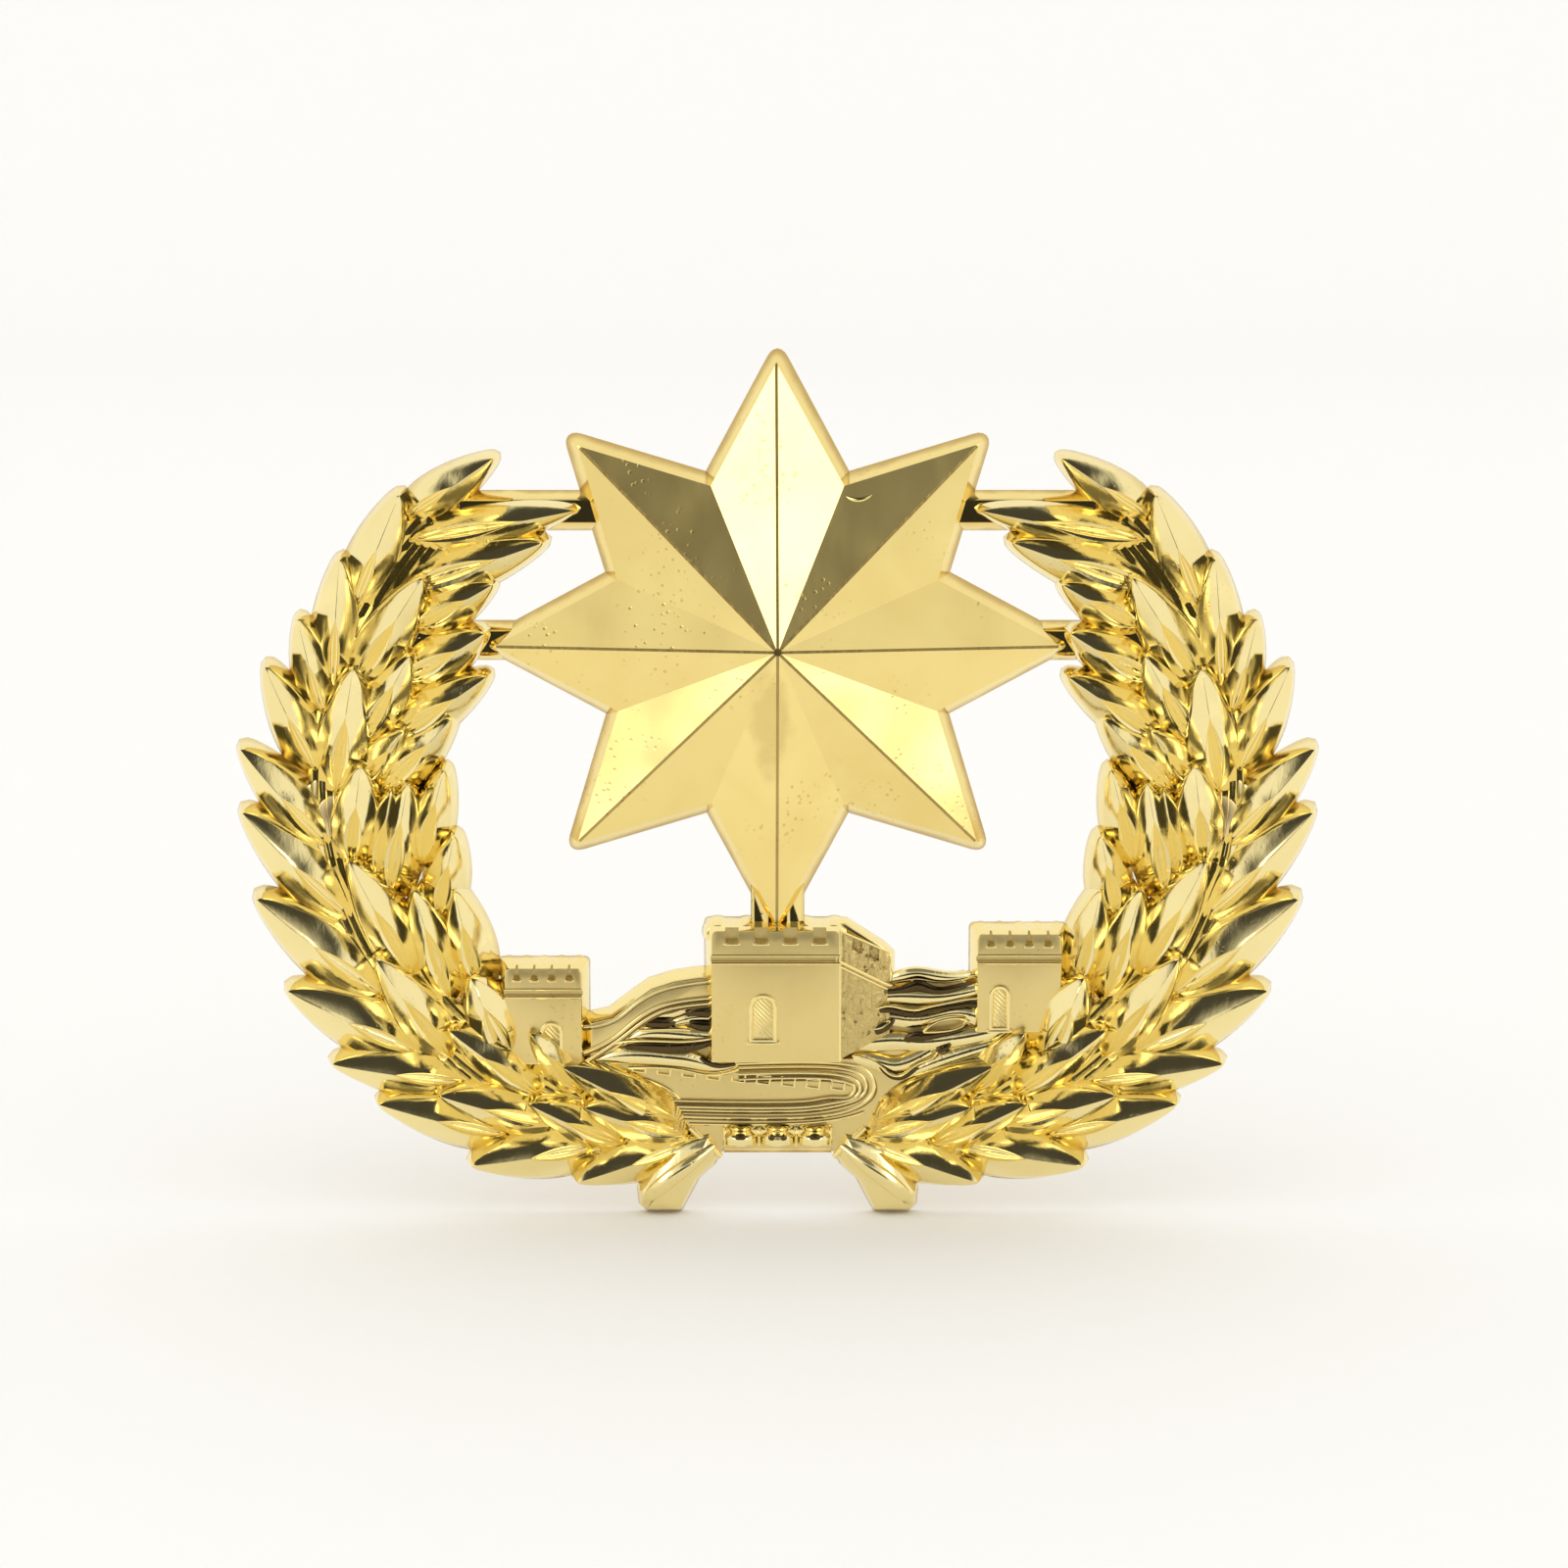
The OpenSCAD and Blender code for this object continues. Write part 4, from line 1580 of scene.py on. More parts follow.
    def side(self) -> list[Blank]:
        """Models the side wall, which this tower doesn't show."""
        return []

    def build(self) -> list[Piece]:
        """Builds the tower."""
        return [assemble(self.node, [self.front(), *self.dressings(), *self.side()])]


@dataclass(frozen=True)
class GateTower(Tower):
    """The gate tower, which also shows its rough side wall.

    Attributes:
        side_width: width of the side wall.
        side_thickness: height of the side wall's far edge above the back.
        drop: how far the side wall's top falls.
        rise: how far its foot rises.
    """

    side_width: float = 2.8
    side_thickness: float = 1.3
    drop: float = 1.4
    rise: float = 1.5

    def side(self) -> list[Blank]:
        """Models the side wall with its gaps, string course and rim.

        Returns:
            The side wall's pieces.
        """
        near = self.x + self.width
        far = near + self.side_width
        base = self.top - self.height

        def face_height(x: float) -> float:
            """Gives the height of the side wall's face."""
            return self.thickness + (self.side_thickness - self.thickness) * (x - near) / self.side_width

        wall = Blank.block("Side wall", (near - 0.3, base, 0.0), (far, self.top, self.thickness))
        with wall.open():
            wall.pick_corners(lambda co: co.x > near + 1)
            wall.move_picked(lambda co: (
                far, base + self.rise if co.y < base + 1 else self.top - self.drop,
                self.side_thickness if co.z > 0.5 else 0.0))
        rim = Blank.outline("Side rim",
            ((near - 0.2, self.top - 0.5), (far + 0.3, self.top - self.drop - 2.2),
            (far + 0.3, self.top - self.drop - 0.1), (far - 0.3, self.top - self.drop + 0.45),
            (near + 0.4, self.top + 0.42), (near - 0.2, self.top + 0.45)))
        rim.draft(0.3, 0.2, 1.1)
        wall.soften(0.04)
        wall.paint(ROUGH_WALL)
        slope = -self.drop / self.side_width
        gaps = []
        # The gaps' cutters are painted dark, as shade inside the gaps.
        for share in (0.34, 0.68):
            x = near + share * self.side_width
            z = self.top + slope * (x - near)
            gap = Blank.block("Side gap", (x - 0.28, z - 0.62, face_height(x) - 0.35),
                (x + 0.28, z + 1, self.thickness + 1))
            with gap.open():
                gap.pick_faces(lambda centre, normal: normal.x > 0.9)
                bpy.ops.transform.translate(value=(0, 0.56 * slope, 0))
            gaps.append(gap.paint(DARK_PAINTED_SHADE))
        wall.cut(*gaps)
        parts = [wall, rim.soften(0.08).paint(EDGE_GOLD)]
        for below, radius in ((self.top - self.groove + 0.15, 0.1), (self.top - self.groove + 0.42, 0.07)):
            start = (near, self.top - below, face_height(near))
            end = (far, self.top - below - 1.55, face_height(far))
            middle = tuple((a + b) / 2 for a, b in zip(start, end))
            parts.append(bead("Side string course", (start, middle, end), radius, EDGE_GOLD))
        parts.append(bead("Corner ridge",
            ((near, base + 0.1, self.thickness - 0.02), (near, self.top - 3, self.thickness - 0.02),
            (near, self.top, self.thickness - 0.02)), 0.07, EDGE_GOLD))
        parts.append(bead("Top edge", ((near, self.top, self.thickness - 0.04),
            (near + 1.4, self.top - 0.7, face_height(near + 1.4) - 0.04),
            (far, self.top - self.drop, self.side_thickness - 0.04)), 0.06, EDGE_GOLD))
        return parts


GATE = GateTower("gate_tower", x=-3.7, width=7.2, top=-6.3, height=7.5, thickness=2.2,
    crenels=CrenelStyle.SQUARE, crenel_width=0.75, crenel_height=0.65, groove=-7.9,
    door=(-0.82, -12.65, 1.55, 2.75))
LEFT_TOWER = Tower("left_tower", x=-15.3, width=4.3, top=-8.55, height=5.5, thickness=1.6,
    crenels=CrenelStyle.POINTED, crenel_width=0.42, crenel_height=0.62, groove=-9.95,
    door=(-12.7, -13.9, 1.3, 2.3))
RIGHT_TOWER = Tower("right_tower", x=11.2, width=4.7, top=-6.6, height=5.6, thickness=1.6,
    crenels=CrenelStyle.POINTED, crenel_width=0.45, crenel_height=0.62, groove=-8.0,
    door=(12.45, -12.1, 1.15, 2.6))


# ---- ramparts, rocks and tie


@dataclass(frozen=True)
class LeftRampart:
    """The stepped wall that climbs from the left tower to the gate tower."""

    outline: tuple[Point, ...] = ((-11.0, -11.4), (-10.4, -11.2), (-9.5, -11.0), (-8.4, -10.15),
        (-7.3, -9.35), (-5.9, -8.9), (-4.6, -8.7), (-3.4, -8.65), (-3.4, -11.0), (-5.7, -11.1),
        (-8.0, -12.4), (-10.2, -14.2), (-11.0, -14.2))
    courses: tuple[tuple[Corner, ...], ...] = (
        ((-10.9, -11.95, 1.28), (-9.4, -11.85, 1.28), (-8.4, -11.0, 1.28), (-7.3, -10.05, 1.28),
            (-5.7, -9.5, 1.28), (-3.6, -9.3, 1.28)),
        ((-10.9, -13.4, 1.36), (-9.5, -12.9, 1.36), (-8.4, -11.9, 1.36), (-7.2, -10.9, 1.36),
            (-5.7, -10.4, 1.36), (-3.6, -10.25, 1.36)),
        ((-10.8, -13.9, 1.42), (-9.3, -13.0, 1.42), (-8.1, -12.0, 1.42), (-6.9, -11.1, 1.42),
            (-5.6, -10.7, 1.42), (-3.6, -10.55, 1.42)))
    radii: Corner = (0.08, 0.1, 0.09)
    shadow_radius: float = 0.07
    height: float = 1.3

    def build(self) -> list[Piece]:
        """Builds the wall.

        Returns:
            The wall, in place.
        """
        plate = Blank.outline("Left rampart", self.outline).draft(0.3, 0.5, self.height)
        plate.soften(0.06).paint(SATIN_RELIEF)
        plate.paint(EDGE_GOLD, leans)
        lines = []
        for path, radius in zip(self.courses, self.radii):
            lines.append(bead("Course", path, radius, EDGE_GOLD, flat=0.8))
            under = [(x, y - 0.17, height - 0.03) for x, y, height in path]
            lines.append(bead("Course shadow", under, self.shadow_radius, DARK_PAINTED_SHADE, flat=0.8))
        return [assemble("left_rampart", [plate, *lines])]


@dataclass(frozen=True)
class Rocks:
    """A rock slope: a plate with long smooth waves, and dark bands between them painted as the dark
    reflections in its hollows.

    Attributes:
        node: the CAD node it replaces.
        outline: the slope's outline.
        waves: paths of the waves as (x, up, height, width share).
        dark_reflections: paths of the dark bands painted as reflections, given in the same way.
        edges: bright thin edges as (x, up, height).
    """

    node: str
    outline: tuple[Point, ...]
    waves: tuple[tuple[Bend, ...], ...]
    dark_reflections: tuple[tuple[Bend, ...], ...]
    edges: tuple[tuple[Corner, ...], ...]
    thickness: float = 0.9
    wave_radius: float = 0.56
    hollow_radius: float = 0.42
    hollow_lift: float = 0.08
    edge_radius: float = 0.08

    def build(self) -> list[Piece]:
        """Builds the slope.

        Returns:
            The slope, in place.
        """
        plate = Blank.outline(self.node, self.outline).draft(0.25, 0.3, self.thickness)
        plate.soften(0.06).paint(SATIN_RELIEF)
        plate.paint(BRIGHT_WREATH, lambda centre, normal: normal.z < 0.9)
        waves = [bead("Wave", path, self.wave_radius, BRIGHT_WREATH, flat=0.7) for path in self.waves]
        # Dark bands laid just above the plate, painted as the dark reflections in the hollows.
        dark_reflections = []
        for path in self.dark_reflections:
            raised = [(x, y, height + self.hollow_lift, share) for x, y, height, share in path]
            dark_reflections.append(bead("Hollow", raised, self.hollow_radius, BLACK_SHADE_AND_REFLECTION, flat=0.3))
        edges = [bead("Wave edge", path, self.edge_radius, EDGE_GOLD) for path in self.edges]
        return [assemble(self.node, [plate, *waves, *dark_reflections, *edges])]


LEFT_ROCKS = Rocks("left_rocks",
    outline=((-10.8, -14.2), (-10.2, -13.7), (-8.4, -12.0), (-5.7, -10.8), (-3.4, -10.7), (-3.4, -13.6),
        (-2.2, -13.9), (-2.3, -14.4), (-3.5, -14.9), (-5.0, -14.5), (-7.0, -14.2), (-9.0, -14.3)),
    waves=(
        ((-8.6, -12.9, 1.0, 0.35), (-7.8, -12.4, 1.05, 0.8), (-6.5, -12.3, 1.05, 0.95),
            (-5.1, -12.5, 1.05, 0.95), (-3.8, -12.6, 1.0, 0.85)),
        ((-10.5, -14.0, 0.9, 0.4), (-9.2, -13.7, 1.0, 0.9), (-7.9, -13.6, 1.0, 1.1),
            (-6.2, -13.8, 1.0, 1.15), (-4.9, -13.9, 1.0, 1.1), (-3.9, -14.3, 1.0, 0.8),
            (-2.7, -14.4, 0.95, 0.5), (-2.2, -14.1, 0.9, 0.3)),
        ((-10.3, -13.8, 0.95, 0.35), (-9.4, -13.2, 1.05, 0.55), (-8.4, -12.4, 1.1, 0.5),
            (-7.6, -11.7, 1.1, 0.5), (-6.7, -11.3, 1.05, 0.45), (-5.7, -11.2, 1.1, 0.55),
            (-5.0, -10.8, 1.05, 0.45), (-3.9, -10.6, 1.0, 0.4)),
        ((-5.8, -11.8, 1.0, 0.5), (-5.1, -11.5, 1.05, 0.6), (-4.5, -11.4, 1.05, 0.5),
            (-3.8, -11.5, 1.0, 0.5))),
    dark_reflections=(
        ((-8.6, -13.1, 1.25, 0.2), (-7.8, -13.0, 1.3, 0.65), (-6.8, -13.1, 1.35, 0.85),
            (-5.4, -13.1, 1.35, 0.95), (-4.5, -13.0, 1.3, 0.8), (-3.8, -12.8, 1.2, 0.5)),
        ((-7.5, -11.7, 1.25, 0.35), (-7.0, -11.7, 1.35, 0.85), (-6.2, -11.8, 1.3, 0.7),
            (-5.8, -11.7, 1.2, 0.25)),
        ((-5.1, -11.2, 1.25, 0.3), (-4.6, -11.0, 1.35, 0.75), (-3.9, -11.1, 1.3, 0.7)),
        ((-4.9, -11.7, 1.25, 0.3), (-4.5, -11.9, 1.3, 0.75), (-3.8, -11.9, 1.25, 0.65)),
        ((-4.3, -13.7, 1.25, 0.3), (-3.9, -14.1, 1.3, 0.45), (-3.4, -14.3, 1.25, 0.4),
            (-2.4, -14.1, 1.15, 0.25))),
    edges=(
        ((-10.3, -13.6, 1.3), (-9.4, -12.9, 1.4), (-8.6, -12.7, 1.4), (-7.8, -12.7, 1.45),
            (-6.5, -12.7, 1.5), (-5.1, -12.8, 1.5), (-3.8, -12.6, 1.45)),
        ((-7.8, -12.1, 1.4), (-6.7, -12.1, 1.45), (-5.7, -12.0, 1.45), (-4.9, -12.1, 1.45)),
        ((-8.4, -14.3, 1.3), (-6.8, -14.2, 1.4), (-5.1, -14.4, 1.4), (-4.3, -14.7, 1.35),
            (-3.2, -14.8, 1.3), (-2.2, -14.4, 1.25))))
RIGHT_ROCKS = Rocks("right_rocks",
    outline=((3.6, -13.6), (4.0, -12.9), (5.3, -11.2), (6.3, -9.9), (7.2, -9.3), (7.9, -8.8), (9.2, -9.2),
        (10.5, -8.9), (11.4, -10.2), (13.0, -10.8), (14.6, -11.4), (13.8, -12.2), (12.2, -13.7),
        (9.1, -14.3), (7.4, -15.0), (6.6, -15.2), (5.7, -14.4), (4.2, -13.8)),
    waves=(
        ((6.1, -10.3, 1.0, 0.9), (7.2, -10.2, 1.05, 1.0), (8.6, -10.4, 1.1, 1.0), (10.0, -10.2, 1.1, 0.9),
            (11.2, -9.9, 1.0, 0.7)),
        ((5.3, -11.5, 1.0, 0.5), (6.1, -11.4, 1.05, 0.7), (7.2, -11.7, 1.0, 0.9), (8.5, -11.6, 1.0, 0.6),
            (10.0, -11.1, 1.0, 0.6), (11.1, -11.3, 1.05, 1.0), (11.9, -11.9, 1.0, 0.8)),
        ((4.1, -13.1, 0.9, 0.7), (5.3, -12.9, 1.0, 1.1), (6.7, -12.7, 1.0, 1.1), (8.0, -13.0, 1.0, 0.9),
            (10.0, -12.7, 1.05, 1.0), (11.3, -12.5, 1.05, 1.1), (12.7, -12.1, 1.0, 0.9),
            (14.1, -11.6, 0.9, 0.5)),
        ((4.3, -13.8, 0.9, 0.5), (5.3, -13.9, 1.0, 0.9), (6.1, -14.2, 1.0, 1.0), (6.8, -14.3, 1.0, 1.0),
            (7.6, -14.0, 1.0, 1.0), (8.6, -13.4, 0.95, 0.8)),
        ((6.1, -9.4, 0.7, 0.5), (7.1, -9.1, 0.8, 0.8), (7.8, -8.9, 0.8, 0.7), (8.9, -9.2, 0.8, 0.8),
            (10.0, -9.3, 0.75, 0.7), (10.9, -9.1, 0.6, 0.5)),
        ((7.2, -14.9, 0.8, 0.6), (8.3, -14.3, 0.9, 0.9), (9.7, -13.8, 0.9, 1.0), (11.3, -13.3, 0.9, 1.0),
            (13.0, -12.8, 0.8, 0.8))),
    dark_reflections=(
        ((6.2, -9.9, 1.35, 0.35), (7.2, -9.8, 1.4, 0.45), (7.8, -9.4, 1.35, 0.9), (8.4, -9.7, 1.4, 0.6),
            (9.1, -9.9, 1.45, 0.5), (10.0, -9.7, 1.4, 0.5), (10.9, -9.4, 1.2, 0.25)),
        ((5.4, -11.1, 1.3, 0.25), (6.1, -10.8, 1.4, 0.55), (6.8, -11.0, 1.45, 0.55),
            (7.8, -11.2, 1.4, 0.6), (8.5, -10.9, 1.45, 0.45), (9.4, -10.8, 1.45, 0.35),
            (10.5, -10.6, 1.4, 0.35), (11.3, -10.6, 1.3, 0.6), (12.0, -11.1, 1.3, 1.1),
            (13.0, -10.9, 1.2, 0.8), (13.8, -11.2, 1.1, 0.5), (14.4, -11.4, 1.0, 0.2)),
        ((12.0, -11.1, 1.35, 0.6), (12.2, -11.6, 1.35, 0.8), (12.4, -12.1, 1.3, 0.3)),
        ((4.1, -12.6, 1.2, 0.2), (4.7, -12.2, 1.35, 0.65), (5.5, -12.2, 1.4, 0.7),
            (6.2, -11.9, 1.4, 0.65), (6.5, -11.5, 1.3, 0.3)),
        ((7.2, -12.7, 1.3, 0.35), (7.6, -12.4, 1.4, 0.85), (8.5, -12.5, 1.4, 0.6),
            (9.0, -12.3, 1.45, 0.3), (10.0, -12.2, 1.45, 0.3), (10.7, -11.8, 1.4, 0.2)),
        ((9.0, -13.3, 1.3, 0.35), (9.4, -13.2, 1.4, 0.65), (9.7, -12.9, 1.3, 0.25)),
        ((5.8, -14.2, 1.35, 0.3), (6.2, -14.6, 1.4, 0.5), (6.7, -14.9, 1.3, 0.5), (7.2, -14.8, 1.35, 0.4),
            (7.8, -14.3, 1.4, 0.25))),
    edges=(
        ((5.5, -10.9, 1.45), (6.1, -10.6, 1.5), (6.8, -10.8, 1.55), (7.8, -11.0, 1.55),
            (8.5, -10.7, 1.55), (9.4, -10.6, 1.5), (10.5, -10.3, 1.45), (11.3, -10.3, 1.4)),
        ((5.1, -12.0, 1.45), (5.7, -12.1, 1.5), (6.2, -11.7, 1.5), (6.4, -11.5, 1.45), (5.9, -11.6, 1.4)),
        ((4.2, -13.6, 1.3), (5.0, -13.7, 1.4), (5.7, -14.0, 1.45), (6.1, -14.5, 1.5), (6.6, -14.8, 1.5),
            (7.2, -14.6, 1.5), (7.7, -14.1, 1.45), (8.5, -13.8, 1.4), (8.9, -13.7, 1.35),
            (9.1, -13.1, 1.35), (9.6, -12.9, 1.3)),
        ((8.2, -12.2, 1.5), (8.5, -11.8, 1.5), (9.4, -11.4, 1.5), (10.6, -11.4, 1.45),
            (10.6, -11.7, 1.45), (10.1, -12.1, 1.5), (9.1, -12.2, 1.5), (8.2, -12.2, 1.5)),
        ((11.3, -10.3, 1.35), (12.1, -10.7, 1.35), (13.0, -10.6, 1.25), (13.8, -10.9, 1.15),
            (14.5, -11.3, 1.0))))


@dataclass(frozen=True)
class FrontRampart:
    """The ground plate with the rounded front wall and its small battlements.

    Attributes:
        plate: the ground's outline.
        height: height of the ground.
        notches: number of small battlements.
        loops: for each course of the wall where it turns, its top, end, bottom and tail,
            its radius and its height.
    """

    plate: tuple[Point, ...] = ((-10.6, -13.8), (11.6, -13.6), (9.0, -15.2), (7.0, -16.6), (5.4, -17.6),
        (4.6, -18.6), (3.3, -19.6), (3.0, -19.2), (-3.0, -19.2), (-3.3, -19.6), (-4.7, -18.3),
        (-6.4, -17.2), (-8.0, -16.0))
    height: float = 1.0
    notches: int = 9
    loops: tuple[tuple[float, ...], ...] = (
        (3.45, -14.0, 5.55, -17.25, -5.4, 0.11, 1.02), (3.3, -14.25, 5.1, -16.85, -5.9, 0.09, 1.06),
        (3.2, -14.6, 4.75, -16.65, -6.1, 0.1, 1.1), (3.2, -14.9, 4.45, -16.3, -6.4, 0.08, 1.14))

    def build(self) -> list[Piece]:
        """Builds the plate, its courses and its battlements.

        Returns:
            The piece, in place.
        """
        plate = Blank.outline("Front rampart", self.plate).draft(0.3, 0.2, self.height).paint(SATIN_RELIEF)
        parts = [plate]
        for start, top, end, bottom, tail, radius, height in self.loops:
            middle = (top + bottom) / 2
            path = (
                (-2.2, top - 0.1, height), (0.5, top, height), (start, top, height),
                (end - 0.45, top - 0.35, height), (end, middle + 0.25, height),
                (end - 0.25, middle - 0.55, height), (end - 1.5, bottom + 0.35, height),
                (2.0, bottom + 0.05, height), (0.0, bottom, height),
                (tail / 2, bottom, height), (tail, bottom + 0.1, height))
            parts.append(bead("Wall course", path, radius, EDGE_GOLD, flat=0.8))
            shade = [(x + (0.13 if x > 4 else 0.0), y - (0.15 if x < 4 else 0.08), height - 0.03)
                for x, y, height in path]
            parts.append(bead("Course shadow", shade, 0.06, DARK_PAINTED_SHADE, flat=0.8))
        parts.append(bead("Wall foot", ((-5.0, -17.6, 1.0), (-2.5, -17.65, 1.0), (0.5, -17.65, 1.0),
            (3.5, -17.45, 1.0), (4.9, -16.9, 1.0)), 0.1, EDGE_GOLD))
        parts.append(bead("Walk edge", ((-8.6, -14.6, 1.05), (-6.4, -15.3, 1.05), (-5.8, -15.7, 1.05),
            (-5.5, -16.3, 1.05)), 0.09, EDGE_GOLD))
        notch = self._notch()
        slant = Matrix.Rotation(math.radians(-7), 4, "Z")
        for i in range(self.notches):
            share = i / (self.notches - 1)
            x = -7.8 + 11.2 * share
            y = -14.35 - 1.25 * share + 0.22 * share * share
            parts.append(notch.copy(Matrix.Translation((x, y, self.height)) @ slant))
        notch.discard()
        for side in Side:
            parts.append(bead("Web edge", ((side.value * 4.95, -17.8, 1.12),
                (side.value * 4.0, -18.7, 1.16), (side.value * 3.2, -19.5, 1.1)), 0.17, EDGE_GOLD))
        return [assemble("front_rampart", parts)]

    def _notch(self) -> Blank:
        """Models one small battlement gap: a stepped block with a bright sill and a sunk floor painted dark
        as shade.

        Returns:
            The gap.
        """
        block = Blank.block("Notch", (-0.42, -0.28, -0.1), (0.42, 0.3, 0.16))
        with block.open():
            block.pick_faces(looks_up)
            bpy.ops.mesh.inset(thickness=0.1, depth=0.0)
            bpy.ops.mesh.inset(thickness=0.02, depth=-0.2)
        block.soften(0.03)
        block.paint(EDGE_GOLD)
        # The sunk floor is painted dark, as shade.
        return block.paint(DARK_PAINTED_SHADE, lambda centre, normal: normal.z > 0.9 and centre.z < 0.1)


@dataclass(frozen=True)
class TieBand:
    """The band of three pinched lobes that ties the branches at the foot."""

    lobe: float = 1.02
    offset: float = 2.1
    pinch: float = 0.7
    skirt: float = 1.15
    plate_height: float = 1.1
    pinch_radius: float = 0.28
    rib_radius: float = 0.09
    edge_ribs: tuple[float, ...] = (-3.0, -1.05, 1.05, 3.0)

    def build(self) -> list[Piece]:
        """Builds the band.

        Returns:
            The band, in place.
        """
        low, high = node_box("tie_band")
        middle = (low.y + high.y) / 2
        plate = Blank.block("Tie plate", (low.x, low.y, 0.0), (high.x, high.y, self.plate_height))
        with plate.open():
            plate.pick_faces(looks_up)
            plate.move_picked(lambda co: (co.x * 0.97, max(co.y, low.y + self.skirt), co.z))
        plate.soften(0.08).paint(EDGE_GOLD)
        foot = low.y + self.skirt - 0.4
        parts = [plate] + [self._lobe(x, foot, high.y) for x in (-self.offset, 0.0, self.offset)]
        # Near-black beads at the lobes' waists, painted as the shade in the pinches.
        for x in (-self.offset, -0.32, 0.32, self.offset):
            half = 0.28 if abs(x) > 1 else 0.12
            path = ((x - half, middle + 0.42, 1.62, 0.5), (x, middle + 0.3, 1.6, 1.0),
                (x + half, middle + 0.42, 1.62, 0.5))
            parts.append(bead("Pinch", path, self.pinch_radius, BLACK_SHADE_AND_REFLECTION, flat=0.7))
        for x in self.edge_ribs:
            parts.append(bead("Rib", ((x, high.y - 0.1, 1.25), (x, middle + 0.2, 1.2), (x, foot, 1.2)),
                self.rib_radius, EDGE_GOLD))
        return [assemble("tie_band", parts)]

    def _lobe(self, x: float, low: float, high: float) -> Blank:
        """Models one lobe, lying along the badge's height and pinched near its top.

        Args:
            x: its middle.
            low: its lower end.
            high: its upper end.

        Returns:
            The lobe.
        """
        rows, sides = 14, 20

        def place(row: int, column: int) -> Corner:
            """Gives a corner of the pinched lobe."""
            share = row / rows
            turn = math.pi * column / sides
            waist = 1 - (1 - self.pinch) * math.exp(-((share - 0.72) / 0.16) ** 2)
            end = min(1.0, 4 * share + 0.78, 4 * (1 - share) + 0.78)
            radius = self.lobe * waist * end
            height = 0.75 + 0.95 * radius * math.sin(turn)
            return x + radius * math.cos(turn), low + (high - low) * share, height

        lobe = Blank.grid("Lobe", rows, sides, place)
        with lobe.open():
            lobe.cap()
        return lobe.paint(BRIGHT_WREATH)


# ---- studs, washers and nuts


